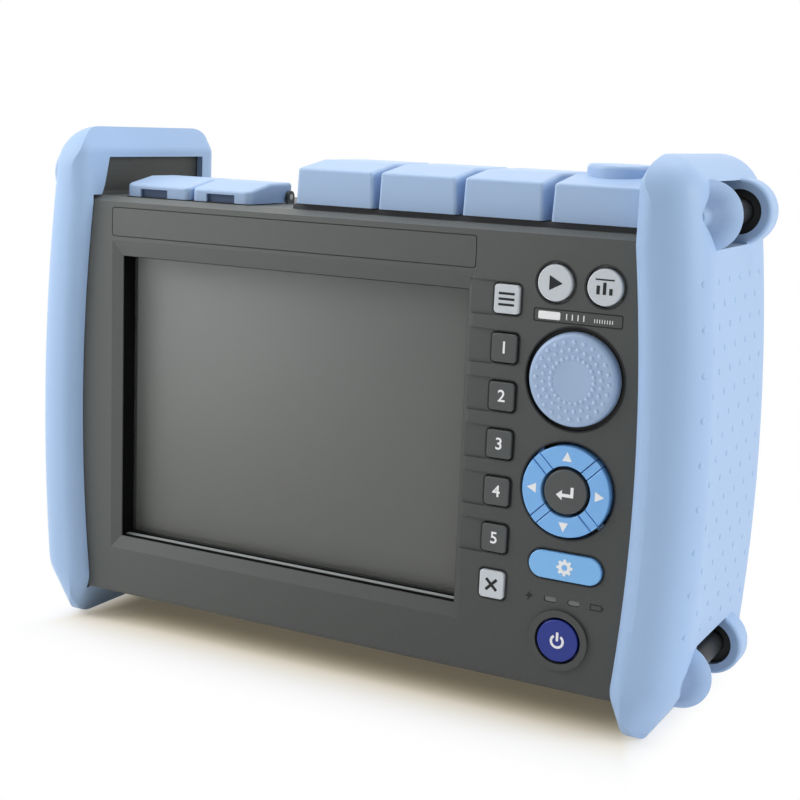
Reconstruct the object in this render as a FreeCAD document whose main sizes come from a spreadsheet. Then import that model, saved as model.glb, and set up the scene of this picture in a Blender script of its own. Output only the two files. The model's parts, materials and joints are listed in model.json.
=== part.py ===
"""Optical time domain reflectometer: a hand-held tester for optical fibre lines.

The document is parametric. The sheet "Sizes" holds the driving dimensions in millimetres, and every
piece takes its sizes and its place from those cells.

Frame: +X to the right of somebody who faces the panel, +Y to the rear, +Z up. The origin lies under
the middle of the tester, on the surface that it stands on. A "depth" counts from the front face of
the panel towards the rear, and becomes a Y value by adding PANEL.
"""
import FreeCAD, Part
import math
import os
import Sketcher

Vector = FreeCAD.Vector
Rotation = FreeCAD.Rotation

doc = FreeCAD.newDocument("optical_time_domain_reflectometer")
sheet = doc.addObject("Spreadsheet::Sheet", "Sizes")

# ----------------------------------------------------------------------------------------------------
# Driving dimensions
# ----------------------------------------------------------------------------------------------------
CELLS = (
    # casing
    ("case_core_in", 16.25, "end of the case between the bumpers, inwards from the bumper's side"),
    ("case_bottom", 10.0, "height of the underside"),
    ("case_top", 135.3, "height of the top face"),
    ("case_depth", 66.0, "panel face to rear face"),
    ("rear_case_deep", 22.0, "depth of the rear case"),
    ("case_wall", 2.5, "wall of both cases"),
    ("end_half_in", 5.75, "end of the blocks that carry the bumpers, inwards from the bumper's side"),
    ("end_low", 30.0, "lower side of those blocks"),
    ("end_high", 120.0, "upper side of those blocks"),
    ("end_inset", 3.0, "those blocks set back from front and rear"),
    ("cheek_inner_in", 19.25, "inner face of the cheeks on the case top, inwards from the bumper's side"),
    ("cheek_high", 151.0, "top of the cheeks"),
    ("cheek_front", 3.2, "depth of the front of the cheeks"),
    ("bevel_depth", 4.0, "depth of the bevel on the top front edge"),
    ("bevel_drop", 1.3, "drop of that bevel"),
    ("bottom_round", 1.5, "rounding of the lower front and rear edges"),
    ("screw_x_in", 21.75, "centres of the case screws, inwards from the bumper's side"),
    ("screw_low", 18.0, "height of the lower case screws"),
    ("screw_high", 127.5, "height of the upper case screws"),
    ("screw_shank", 1.25, "radius of a screw shank"),
    ("screw_head", 2.6, "radius of a screw head"),
    ("screw_head_height", 1.8, "height of a screw head"),
    ("screw_length", 32.0, "length of a screw under its head"),
    ("screw_play", 0.15, "play of a screw in its hole"),
    ("boss_wall", 2.0, "wall of a screw boss"),
    ("fit", 0.3, "clearance between pieces that lie against each other"),
    # bumpers
    ("bumper_high", 156.2, "height of the bumpers"),
    ("bumper_half", 108.75, "half width over the bumpers"),
    ("bumper_widest", 63.4, "height where the bumpers are widest"),
    ("bumper_side_low_in", 1.95, "side at the top of the foot bevel, inwards from the bumper's side"),
    ("bumper_side_low_z", 15.0, "height of the top of the foot bevel"),
    ("bumper_side_high_in", 7.15, "side at the height of the top, inwards from its widest place"),
    ("bumper_foot_in", 11.75, "outer edge of the foot, inwards from the bumper's side"),
    ("bumper_foot_inner_in", 15.25, "inner edge of the foot, inwards from the bumper's side"),
    ("bumper_crown_inner_in", 17.75, "inner edge of the top face, inwards from the bumper's side"),
    ("bumper_shoulder_in", 21.75, "inner face of the bumper above the case, inwards from the bumper's side"),
    ("bumper_shoulder_z", 149.2, "height where the crown slope meets that face"),
    ("bumper_lip_high", 133.0, "height where the bowed lip edge starts"),
    ("bumper_lip_mid_in", 17.85, "middle of the bowed lip edge, inwards from the bumper's side"),
    ("bumper_lip_mid_z", 78.0, "height of the middle of the bowed lip edge"),
    ("bumper_lip_low_in", 20.65, "lower end of the lip edge, inwards from the bumper's side"),
    ("bumper_lip_low_z", 13.0, "height of the lower end of the lip edge"),
    ("bumper_front", 5.0, "bumper lip in front of the panel"),
    ("bumper_rear", 0.5, "bumper lip behind the rear face"),
    ("bumper_round", 12.0, "rounding of the outer front edge"),
    ("bumper_rear_round", 10.0, "rounding of the outer rear edge"),
    ("bumper_crown_round", 13.0, "rounding of the upper outer corner"),
    ("bumper_foot_round", 14.0, "rounding above the foot bevel"),
    ("bumper_lip_front", 5.0, "rounding of the inner front edge"),
    ("bumper_lip_rear", 6.0, "rounding of the inner rear edge"),
    ("bumper_lip_bend", 10.0, "rounding where the lip edge meets the foot"),
    ("bumper_crown_bend", 4.0, "rounding where the inner face meets the crown slope"),
    ("window_front", 7.5, "depth of the front of the opening in the bumper's inner side"),
    ("window_rear_in", 9.0, "rear of that opening from the rear face"),
    ("window_knee", 5.2, "depth of the bend in its front edge"),
    ("window_knee_z", 138.5, "height of that bend"),
    ("window_low", 128.0, "height where its front edge meets the panel face"),
    ("window_high", 147.0, "top of that opening"),
    # strap bars
    ("ear_radius", 9.2, "radius of a strap ear"),
    ("ear_round", 1.2, "edge rounding of a strap ear"),
    ("ear_tip", 1.5, "radius of the flat end of a front ear"),
    ("ear_front", 2.4, "depth of the front face of the front ears"),
    ("ear_front_thick", 9.0, "thickness of a front ear"),
    ("ear_rear", 40.0, "depth of the front face of the rear ears"),
    ("ear_rear_thick", 8.0, "thickness of a rear ear"),
    ("ear_high_x_in", 6.95, "upper strap bar, half distance across, inwards from the bumper's side"),
    ("ear_high_z", 141.0, "upper strap bar, height"),
    ("ear_low_x_in", 5.25, "lower strap bar, half distance across, inwards from the bumper's side"),
    ("ear_low_z", 18.0, "lower strap bar, height"),
    ("slot_half", 8.6, "half height of a strap slot"),
    ("bar_radius", 3.6, "radius of a strap bar"),
    ("bar_seat", 4.6, "length of a strap bar inside each ear"),
    ("bar_play", 0.1, "play of a strap bar in its ears"),
    ("bar_sink", 6.2, "radius of the sink round the bar"),
    ("bar_sink_deep", 2.2, "depth of that sink"),
    # screen
    ("bezel_left_in", 12.5, "left edge of the screen bezel, inwards from the case's end"),
    ("bezel_right_off", -30.3, "right edge of the screen bezel, from the knob's centre"),
    ("bezel_low", 25.0, "lower edge of the screen bezel"),
    ("bezel_high", 122.3, "upper edge of the screen bezel"),
    ("view_left_in", 15.6, "left edge of the visible screen, inwards from the case's end"),
    ("view_right_off", -32.45, "right edge of the visible screen, from the knob's centre"),
    ("view_low", 28.85, "lower edge of the visible screen"),
    ("view_high", 117.65, "upper edge of the visible screen"),
    ("bezel_slope", 1.5, "depth of the slopes of the screen bezel"),
    ("bezel_deep", 7.4, "depth of the screen window"),
    ("window_thick", 1.0, "thickness of the screen window"),
    ("window_rim", 1.8, "overlap of the window behind the bezel"),
    ("display_rim", 3.8, "frame of the display round the visible screen"),
    ("display_thick", 3.6, "thickness of the display"),
    ("frame_sheet", 1.0, "sheet of the display frame"),
    ("frame_flange", 2.6, "depth of the folded edge of the display frame"),
    # name plate
    ("plate_left_in", 12.4, "left edge of the name plate, inwards from the case's end"),
    ("plate_right_off", -30.1, "right edge of the name plate, from the knob's centre"),
    ("plate_low", 123.5, "lower edge of the name plate"),
    ("plate_high", 132.4, "upper edge of the name plate"),
    ("plate_thick", 0.6, "thickness of the name plate"),
    ("plate_gap", 0.25, "gap round the name plate"),
    # rectangular keys
    ("column_x_off", -20.3, "centre of the column of keys, from the knob's centre"),
    ("column_top", 116.1, "height of the top key of the column"),
    ("column_pitch", 13.2, "pitch of the column of keys"),
    ("key_wide", 7.3, "width of a column key"),
    ("key_tall", 7.8, "height of a column key"),
    ("key_corner", 1.0, "corner radius of a column key"),
    ("key_gap", 0.4, "gap round a column key"),
    ("key_proud", 0.9, "keys in front of the panel"),
    ("key_back", 5.0, "depth of the rear ends of the keys"),
    ("key_edge", 0.4, "rounding of a key's front edge"),
    ("key_flange", 0.8, "flange of a key outside its hole"),
    ("key_flange_thick", 1.2, "thickness of that flange"),
    ("key_travel", 0.6, "travel of a key"),
    ("channel_deep", 0.7, "depth of the channels beside the column keys"),
    ("channel_side", 0.9, "channel wider than its key, each side"),
    # round and shaped keys
    ("live_x_off", -6.83, "centre of the live key across, from the knob's centre"),
    ("average_x_off", 6.96, "centre of the average key across, from the knob's centre"),
    ("round_key_z", 121.56, "height of the two round keys"),
    ("round_key", 4.85, "radius of the two round keys"),
    ("round_gap", 0.7, "gap round a round key"),
    ("arrow_x_off", -0.15, "centre of the arrow keys across, from the knob's centre"),
    ("arrow_z", 66.3, "centre of the arrow keys, height"),
    ("arrow_outer", 12.46, "outer radius of the arrow keys"),
    ("arrow_inner", 7.0, "inner radius of the arrow keys"),
    ("arrow_strip", 2.2, "width of a strip between two arrow keys"),
    ("arrow_groove", 0.25, "groove beside a strip"),
    ("arrow_proud", 1.4, "arrow keys in front of the panel"),
    ("arrow_gap", 0.9, "gap round the arrow keys"),
    ("arrow_web", 1.6, "width of the ring behind the panel that carries the strips"),
    ("enter_radius", 6.1, "radius of the enter key"),
    ("setup_x_off", 0.8, "centre of the setup key across, from the knob's centre"),
    ("setup_z", 45.4, "height of the setup key"),
    ("setup_wide", 20.9, "width of the setup key"),
    ("setup_tall", 7.6, "height of the setup key"),
    ("power_x_off", -0.05, "centre of the power key across, from the knob's centre"),
    ("power_z", 24.6, "height of the power key"),
    ("power_radius", 5.9, "radius of the power key"),
    ("power_ring", 8.5, "outer radius of the raised ring round the power key"),
    ("power_ring_high", 0.8, "height of that ring"),
    ("lamp_left_x_off", -3.1, "centre of the left indicator across, from the knob's centre"),
    ("lamp_right_x_off", 3.7, "centre of the right indicator across, from the knob's centre"),
    ("lamp_z", 35.65, "height of the indicators"),
    ("lamp_wide", 3.6, "width of an indicator"),
    ("lamp_tall", 1.6, "height of an indicator"),
    # knob
    ("knob_x_in", 36.25, "centre of the knob across, inwards from the bumper's side"),
    ("knob_z", 96.5, "centre of the knob, height"),
    ("knob_radius", 12.7, "radius of the knob at its foot"),
    ("knob_face", 12.5, "radius of the knob at its face"),
    ("knob_proud", 2.0, "knob in front of the panel"),
    ("knob_round", 1.4, "rounding of the knob's rim"),
    ("knob_well", 13.9, "radius of the well round the knob"),
    ("knob_well_deep", 1.8, "depth of that well"),
    ("knob_skin", 1.2, "wall of the knob's face"),
    ("knob_dish", 5.0, "radius of the dish in the knob's face"),
    ("knob_dish_deep", 0.25, "depth of that dish"),
    ("knob_hub", 5.0, "radius of the knob's hub"),
    ("shaft_radius", 3.0, "radius of the encoder shaft"),
    ("shaft_end", 6.2, "depth of the rear end of the shaft"),
    ("shaft_flat", 0.8, "flat on the shaft for the knob"),
    ("bearing", 0.05, "running clearance of the shaft and its plunger"),
    ("plunger_radius", 4.2, "radius of the encoder plunger"),
    ("plunger_front", 3.2, "depth of the front of the plunger"),
    ("plunger_long", 2.6, "length of the plunger"),
    ("encoder_floor", 0.7, "floor of the encoder body"),
    ("knob_travel", 0.5, "travel of the knob when it is pushed"),
    ("encoder_half", 6.5, "half width of the encoder body"),
    # boards
    ("mat_thick", 1.5, "thickness of the keypad mat"),
    ("board_thick", 1.6, "thickness of a circuit board"),
    ("board_left_off", -26.5, "left edge of the key board, from the knob's centre"),
    ("board_right_off", 11.0, "right edge of the key board, from the knob's centre"),
    ("board_low", 13.6, "lower edge of the key board"),
    ("board_high", 131.5, "upper edge of the key board"),
    ("board_boss", 2.0, "radius of a boss that carries the key board"),
    ("board_boss_in", 2.6, "those bosses from the edge of the board"),
    ("main_depth", 28.0, "depth of the main board"),
    ("main_right_in", 25.75, "right edge of the main board, inwards from the bumper's side"),
    ("main_low", 24.0, "lower edge of the main board"),
    ("main_high", 96.0, "upper edge of the main board"),
    ("main_post", 3.0, "radius of a post that carries the main board"),
    ("post_in", 6.0, "those posts from the edges of the main board"),
    ("post_right_off", -45.5, "right-hand posts of the main board across, from the knob's centre"),
    # connector deck and optical ports
    ("deck_left_share", -0.2205, "left edge of the connector deck, in half widths of the case"),
    ("deck_front", 7.8, "depth of the front of the deck"),
    ("deck_rear", 42.5, "depth of the rear of the deck"),
    ("deck_thick", 1.4, "deck above the case top"),
    ("deck_rim", 3.0, "flange of the deck round its plug"),
    ("port_depth", 23.0, "depth of the optical ports"),
    ("port_barrel", 4.0, "radius of an optical adapter's barrel"),
    ("port_flange", 6.5, "radius of an optical adapter's flange"),
    ("port_flange_thick", 1.6, "thickness of that flange"),
    ("port_high", 145.0, "top of an optical adapter"),
    ("port_bore", 1.27, "radius of the ferrule bore"),
    ("port_bore_deep", 8.0, "depth of the ferrule bore"),
    ("port_well", 2.9, "radius of the well round the ferrule sleeve"),
    ("port_well_deep", 4.0, "depth of that well"),
    ("port_sleeve", 1.9, "radius of the ferrule sleeve"),
    ("meter_barrel", 7.0, "radius of the power meter's adapter"),
    ("module_front", 15.0, "depth of the front of the optical module"),
    ("module_gap", 0.5, "gap between the optical module and the battery tray"),
    ("module_low", 99.0, "lower side of the optical module"),
    ("module_wall", 1.2, "cover of the optical module"),
    # tall covers
    ("cover_1_left_share", -0.2, "left side of the first port cover, in half widths of the case"),
    ("cover_1_right_share", 0.0746, "right side of the first port cover, in half widths of the case"),
    ("cover_2_left_share", 0.0919, "left side of the second port cover, in half widths of the case"),
    ("cover_2_right_share", 0.3546, "right side of the second port cover, in half widths of the case"),
    ("cover_3_left_share", 0.3741, "left side of the third port cover, in half widths of the case"),
    ("cover_3_right_share", 0.6314, "right side of the third port cover, in half widths of the case"),
    ("cover_4_left_share", 0.6562, "left side of the meter cover, in half widths of the case"),
    ("cover_4_right_share", 0.9286, "right side of the meter cover, in half widths of the case"),
    ("cover_front", 6.0, "depth of the front of the tall covers"),
    ("cover_rear", 42.0, "depth of the rear of the tall covers"),
    ("cover_edge", 147.2, "height of the front top edge of the tall covers"),
    ("cover_high", 149.5, "height of the tall covers"),
    ("cover_slope", 14.0, "length of the slope of their top"),
    ("cover_taper", 0.6, "the sides of a tall cover lean in by this much"),
    ("cover_wall", 1.6, "wall of the tall covers"),
    ("cover_round", 1.0, "rounding of their edges"),
    ("dome_radius", 9.65, "radius of the dome on the meter cover"),
    ("dome_high", 3.0, "height of that dome"),
    ("dome_round", 1.4, "edge rounding of the dome"),
    ("dome_depth", 25.0, "depth of the centre of the dome"),
    ("rod_radius", 0.9, "radius of a hinge rod"),
    ("knuckle", 1.8, "radius of the rounded rear edge of a cover about its hinge rod"),
    ("lug_thick", 1.0, "thickness of a hinge lug"),
    ("hinge_block", 3.8, "depth of the block in a cover that takes the rod"),
    # low covers
    ("flap_1_left_share", -0.8584, "left side of the first low cover, in half widths of the case"),
    ("flap_1_right_share", -0.6032, "right side of the first low cover, in half widths of the case"),
    ("flap_2_left_share", -0.5957, "left side of the second low cover, in half widths of the case"),
    ("flap_2_right_share", -0.3708, "right side of the second low cover, in half widths of the case"),
    ("flap_front", 6.0, "depth of the front of the low covers"),
    ("flap_rear", 29.0, "depth of the rear of the low covers"),
    ("flap_edge", 139.3, "height of their front top edge"),
    ("flap_high", 141.6, "height of their rear"),
    ("flap_slope", 12.0, "length of the slope of their top"),
    ("flap_wall", 1.4, "wall of the low covers"),
    ("flap_corner", 2.2, "corner radius of the low covers"),
    ("notch_wide", 10.0, "width of the finger notch"),
    ("notch_high", 2.4, "height of the finger notch"),
    ("notch_deep", 1.0, "depth of the finger notch"),
    ("notch_in", 5.4, "finger notch from the left side of its cover"),
    ("usb_wide", 14.5, "width of a USB port"),
    ("usb_deep", 7.0, "size of a USB port across"),
    ("usb_long", 14.0, "length of a USB port"),
    ("usb_shell", 0.5, "sheet of the USB shell"),
    ("jack_radius", 4.6, "radius of the DC jack"),
    ("jack_bore", 3.2, "radius of the DC jack's bore"),
    ("jack_pin", 1.0, "radius of the DC jack's pin"),
    ("jack_long", 12.0, "length of the DC jack"),
    # battery
    ("door_left_share", 0.3568, "left edge of the battery door, in half widths of the case"),
    ("door_right_share", 0.8649, "right edge of the battery door, in half widths of the case"),
    ("door_low", 24.0, "lower edge of the battery door"),
    ("door_high", 111.0, "upper edge of the battery door"),
    ("door_corner", 3.0, "corner radius of the battery door"),
    ("door_thick", 2.2, "thickness of the battery door"),
    ("door_rim", 2.0, "ledge that the battery door lies on"),
    ("door_play", 0.3, "gap round the battery door"),
    ("pack_deep", 19.0, "thickness of the battery pack"),
    ("tray_wall", 1.5, "wall of the battery tray"),
    ("pack_corner", 2.0, "corner radius of the battery pack"),
    # stand
    ("stand_half_share", 0.3027, "half width of the folding stand, in half widths of the case"),
    ("stand_low", 20.0, "lower edge of the folding stand"),
    ("stand_high", 88.0, "upper edge of the folding stand"),
    ("stand_thick", 3.4, "thickness of the folding stand"),
    ("stand_limb", 9.0, "width of the stand's frame round its cut-out"),
    ("stand_corner", 5.0, "corner radius of the stand"),
    ("stand_play", 0.5, "gap round the stand in its recess"),
    ("pin_radius", 0.8, "radius of the stand's pin"),
    ("pin_end", 4.0, "length of the pin inside the case at each end"),
    ("grip_wide", 18.0, "width of the finger dip below the stand"),
    ("grip_tall", 6.0, "height of that dip"),
    ("grip_deep", 3.0, "depth of that dip"),
)

for row, (alias, number, note) in enumerate(CELLS, start=1):
    sheet.set(f"A{row}", alias)
    sheet.set(f"B{row}", str(number))
    sheet.set(f"C{row}", note)
    sheet.setAlias(f"B{row}", alias)
doc.recompute()


class Size:
    """A dimension as a spreadsheet formula and as a number, which stay together through arithmetic."""

    def __init__(self, formula, number):
        self.formula = formula
        self.number = number

    @staticmethod
    def of(value):
        """Give a plain number the same form as a named size."""
        return value if isinstance(value, Size) else Size(f"({float(value)!r})", float(value))

    def __add__(self, other):
        other = Size.of(other)
        return Size(f"({self.formula} + {other.formula})", self.number + other.number)

    def __sub__(self, other):
        other = Size.of(other)
        return Size(f"({self.formula} - {other.formula})", self.number - other.number)

    def __mul__(self, other):
        other = Size.of(other)
        return Size(f"({self.formula} * {other.formula})", self.number * other.number)

    def __truediv__(self, other):
        other = Size.of(other)
        return Size(f"({self.formula} / {other.formula})", self.number / other.number)

    def __radd__(self, other):
        return Size.of(other) + self

    def __rsub__(self, other):
        return Size.of(other) - self

    def __rmul__(self, other):
        return Size.of(other) * self

    def __neg__(self):
        return Size(f"(-1 * {self.formula})", -self.number)


class Named:
    """The cells of the sheet, as attributes: size.case_wall is the cell case_wall."""

    def __init__(self):
        for alias, number, _ in CELLS:
            setattr(self, alias, Size(f"Sizes.{alias}", float(number)))


size = Named()
# places that keep their distance inwards from the bumper's side, as the device gets wider
FROM_SIDE = ("case_core", "end_half", "cheek_inner", "screw_x", "bumper_side_low",
             "bumper_side_high", "bumper_foot", "bumper_foot_inner", "bumper_crown_inner",
             "bumper_shoulder", "bumper_lip_mid", "bumper_lip_low", "ear_high_x", "ear_low_x",
             "main_right", "knob_x")
# places of the key field, from the centre of the knob
FROM_KNOB = ("column_x", "live_x", "average_x", "arrow_x", "setup_x", "power_x", "lamp_left_x",
             "lamp_right_x", "board_left", "board_right", "post_right", "bezel_right", "view_right",
             "plate_right")
# places of the screen's left side, inwards from the end of the case
FROM_END = ("bezel_left", "view_left", "plate_left")
# places on the top and the rear that spread with the width of the case
IN_SHARES = ("deck_left", "cover_1_left", "cover_1_right", "cover_2_left", "cover_2_right",
             "cover_3_left", "cover_3_right", "cover_4_left", "cover_4_right", "flap_1_left",
             "flap_1_right", "flap_2_left", "flap_2_right", "door_left", "door_right", "stand_half")
for alias in FROM_SIDE:
    setattr(size, alias, size.bumper_half - getattr(size, alias + "_in"))
for alias in FROM_KNOB:
    setattr(size, alias, size.knob_x + getattr(size, alias + "_off"))
for alias in FROM_END:
    setattr(size, alias, getattr(size, alias + "_in") - size.case_core)
for alias in IN_SHARES:
    setattr(size, alias, size.case_core * getattr(size, alias + "_share"))
size.main_left = -size.main_right
size.case_split = size.case_depth - size.rear_case_deep
size.window_rear = size.case_depth - size.window_rear_in
PANEL = (size.bumper_front - size.case_depth - size.bumper_rear) / 2


# ----------------------------------------------------------------------------------------------------
# Building blocks
# ----------------------------------------------------------------------------------------------------
def bind(thing, **formulas):
    """Bind properties to sizes; a double underscore in a keyword stands for a dot."""
    for key, value in formulas.items():
        thing.setExpression(key.replace("__", "."), Size.of(value).formula)
    return thing


def place(thing, x=0, depth=None, z=0):
    """Bind the place of a piece; its depth counts from the panel face."""
    y = Size.of(0) if depth is None else PANEL + depth
    return bind(thing, Placement__Base__x=x, Placement__Base__y=y, Placement__Base__z=z)


def block(name, x, depth, z):
    """A box between two sizes along each axis."""
    box = doc.addObject("Part::Box", name)
    bind(box, Length=x[1] - x[0], Width=depth[1] - depth[0], Height=z[1] - z[0])
    return place(box, x[0], depth[0], z[0])


TURNS = {"x": Rotation(Vector(0, 1, 0), 90), "y": Rotation(Vector(1, 0, 0), -90), "z": Rotation()}


def rod(name, axis, radius, start, length):
    """A cylinder along an axis from its start point (x, depth, z)."""
    cylinder = doc.addObject("Part::Cylinder", name)
    cylinder.Placement = FreeCAD.Placement(Vector(), TURNS[axis])
    bind(cylinder, Radius=radius, Height=length)
    return place(cylinder, *start)


def funnel(name, front, rear, depth):
    """A tapered opening between two upright rectangles (left, right, low, high)."""
    wedge = doc.addObject("Part::Wedge", name)
    bind(wedge, Xmin=front[0], Xmax=front[1], Zmin=front[2], Zmax=front[3])
    bind(wedge, X2min=rear[0], X2max=rear[1], Z2min=rear[2], Z2max=rear[3])
    bind(wedge, Ymin=PANEL + depth[0], Ymax=PANEL + depth[1])
    return wedge


def fuse(name, pieces):
    """Several pieces joined into one."""
    joined = doc.addObject("Part::MultiFuse", name)
    joined.Shapes = list(pieces)
    joined.Refine = True
    return joined


def cut(name, base, tools):
    """A piece less its tools."""
    tools = list(tools)
    result = doc.addObject("Part::Cut", name)
    result.Base = base
    result.Tool = tools[0] if len(tools) == 1 else fuse(name + "_tools", tools)
    return result


def common(name, base, tool):
    """What two pieces share."""
    result = doc.addObject("Part::Common", name)
    result.Base = base
    result.Tool = tool
    return result


def mirrored(name, source):
    """A piece mirrored from the right side to the left."""
    result = doc.addObject("Part::Mirroring", name)
    result.Source = source
    result.Normal = Vector(1, 0, 0)
    return result


def plane_of(body, role):
    """One of a body's own origin planes or axes."""
    return next(item for item in body.Origin.OriginFeatures if item.Role == role)


def sketch_on(body, name, plane, at):
    """An empty sketch on one of a body's planes, moved along its normal to a named place."""
    sketch = body.newObject("Sketcher::SketchObject", name)
    sketch.AttachmentSupport = [(plane_of(body, plane + "_Plane"), "")]
    sketch.MapMode = "FlatFace"
    return bind(sketch, AttachmentOffset__Base__z=-Size.of(at) if plane == "XZ" else at)


def hold(sketch, geometry, end, point):
    """Fix one end of a sketch line at a pair of sizes."""
    for kind, value in (("DistanceX", point[0]), ("DistanceY", point[1])):
        value = Size.of(value)
        index = sketch.addConstraint(Sketcher.Constraint(kind, -1, 1, geometry, end, value.number))
        sketch.setExpression(f"Constraints[{index}]", value.formula)


def draw(sketch, path):
    """Draw a closed outline: each step is a corner, or a pair (point on the arc, corner)."""
    def spot(point):
        return Vector(Size.of(point[0]).number, Size.of(point[1]).number, 0)

    corners = [step[1] if isinstance(step[0], tuple) else step for step in path]
    edges = []
    for index, step in enumerate(path):
        start = corners[index - 1]
        if isinstance(step[0], tuple):
            curve = Part.Arc(spot(start), spot(step[0]), spot(step[1]))
            edge = sketch.addGeometry(curve, False)
            start_end = nearer_end(sketch, edge, spot(start))
            mark = sketch.addGeometry(Part.Point(spot(step[0])), True)
            sketch.addConstraint(Sketcher.Constraint("PointOnObject", mark, 1, edge))
            hold(sketch, mark, 1, step[0])
        else:
            edge = sketch.addGeometry(Part.LineSegment(spot(start), spot(step)), False)
            start_end = 1
        edges.append((edge, start_end, 3 - start_end))
    for index, (edge, start_end, _) in enumerate(edges):
        before, _, before_end = edges[index - 1]
        sketch.addConstraint(Sketcher.Constraint("Coincident", before, before_end, edge, start_end))
        hold(sketch, edge, start_end, corners[index - 1])


def nearer_end(sketch, edge, point):
    """1 or 2, the end of a drawn arc that lies at a point."""
    first = sketch.getPoint(edge, 1)
    return 1 if first.distanceToPoint(point) < 1e-6 else 2


def draw_rounded(sketch, left, right, low, high, radius):
    """Draw a rectangle with four equal corner radii."""
    x0, x1, z0, z1, r = (Size.of(item).number for item in (left, right, low, high, radius))
    sides = (((x0 + r, z0), (x1 - r, z0)), ((x1, z0 + r), (x1, z1 - r)),
             ((x1 - r, z1), (x0 + r, z1)), ((x0, z1 - r), (x0, z0 + r)))
    centres = ((x1 - r, z0 + r), (x1 - r, z1 - r), (x0 + r, z1 - r), (x0 + r, z0 + r))
    for start, end in sides:
        sketch.addGeometry(Part.LineSegment(Vector(*start, 0), Vector(*end, 0)), False)
    for number, centre in enumerate(centres):
        whole = Part.Circle(Vector(*centre, 0), Vector(0, 0, 1), r)
        begin = math.radians(270 + 90 * number)
        sketch.addGeometry(Part.ArcOfCircle(whole, begin, begin + math.pi / 2), False)
    for number in range(4):
        arc = 4 + number
        sketch.addConstraint(Sketcher.Constraint("Tangent", number, 2, arc, 1))
        sketch.addConstraint(Sketcher.Constraint("Tangent", arc, 2, (number + 1) % 4, 1))
        sketch.addConstraint(Sketcher.Constraint(("Horizontal", "Vertical")[number % 2], number))
        if number:
            sketch.addConstraint(Sketcher.Constraint("Equal", 4, arc))
    fixed = (("DistanceX", 3, left), ("DistanceX", 1, right), ("DistanceY", 0, low), ("DistanceY", 2, high))
    for kind, side, value in fixed:
        value = Size.of(value)
        index = sketch.addConstraint(Sketcher.Constraint(kind, -1, 1, side, 1, value.number))
        sketch.setExpression(f"Constraints[{index}]", value.formula)
    index = sketch.addConstraint(Sketcher.Constraint("Radius", 4, r))
    sketch.setExpression(f"Constraints[{index}]", Size.of(radius).formula)


def pad(body, sketch, length, name="pad"):
    """Pad a sketch: to the rear from an upright plane across, else along the plane's own normal."""
    feature = body.newObject("PartDesign::Pad", f"{body.Name}_{name}")
    feature.Profile = sketch
    feature.Reversed = plane_of(body, "XZ_Plane") in [link[0] for link in sketch.AttachmentSupport]
    return bind(feature, Length=length)


PLANE_START = {"XY": lambda at: at, "YZ": lambda at: at, "XZ": lambda at: PANEL + at}


def profile(name, plane, path, start, length):
    """A body padded from one closed outline; on YZ the first coordinate of each point is a Y value."""
    body = doc.addObject("PartDesign::Body", name)
    sketch = sketch_on(body, name + "_sketch", plane, PLANE_START[plane](start))
    draw(sketch, path)
    pad(body, sketch, length)
    return body


def plate(name, x, z, corner, depth):
    """A body padded to the rear from an upright rectangle with rounded corners."""
    body = doc.addObject("PartDesign::Body", name)
    sketch = sketch_on(body, name + "_sketch", "XZ", PANEL + depth[0])
    draw_rounded(sketch, x[0], x[1], z[0], z[1], corner)
    pad(body, sketch, depth[1] - depth[0])
    return body


def turned(name, axis, centre, path):
    """A body turned round the y or z axis through its centre (x, depth, z); path is (radius, along)."""
    body = doc.addObject("PartDesign::Body", name)
    sketch = sketch_on(body, name + "_sketch", "XY" if axis == "y" else "XZ", 0)
    draw(sketch, path)
    feature = body.newObject("PartDesign::Revolution", name + "_turn")
    feature.Profile = sketch
    feature.ReferenceAxis = (plane_of(body, axis.upper() + "_Axis"), [""])
    feature.Angle = 360
    return place(body, *centre)


def softened(name, base, radius, chosen):
    """A body made from a piece by rounding the edges that a rule chooses."""
    body = doc.addObject("PartDesign::Body", name)
    body.BaseFeature = base
    doc.recompute()
    start = body.Group[0]
    edges = [f"Edge{number}" for number, edge in enumerate(start.Shape.Edges, start=1) if chosen(edge)]
    feature = body.newObject("PartDesign::Fillet", name + "_round")
    feature.Base = (start, edges)
    bind(feature, Radius=radius)
    doc.recompute()
    return body


def lies(edge, axis, value, spare=0.01):
    """Whether a whole edge lies at one value of x, y or z."""
    box = edge.BoundBox
    low = getattr(box, axis.upper() + "Min")
    high = getattr(box, axis.upper() + "Max")
    goal = Size.of(value).number
    return abs(low - goal) < spare and abs(high - goal) < spare


def runs(edge, axis):
    """Whether an edge is a straight line along x, y or z."""
    box = edge.BoundBox
    others = {"x", "y", "z"} - {axis}
    return all(getattr(box, other.upper() + "Length") < 1e-6 for other in others)


def span(centre, width):
    """The two ends of a width about its centre."""
    return (centre - width / 2, centre + width / 2)


NODES = []


def node(piece, name):
    """Name a finished piece and keep it for export."""
    piece.Label = name
    NODES.append(piece)
    return piece


# ----------------------------------------------------------------------------------------------------
# Case
# ----------------------------------------------------------------------------------------------------
ARC_MIDDLE = 1 - math.sqrt(0.5)
ARC_OUT = math.sqrt(0.5)
# how far a cutting tool runs past the face that it opens
PAST = 1
# corner radii of oval openings and oval keys, in shares of their height
OVAL = 0.495
LAMP_OVAL = 0.49
# length of a screw's shank inside its own head
HEAD_BITE = 0.1
# depth halfway out in the dish of the knob, and depth of the jack's bore, in shares of the whole
DISH_BEND = 0.75
JACK_SHARE = 0.75
# finger grooves in the battery door
GROOVES = 5
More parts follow.
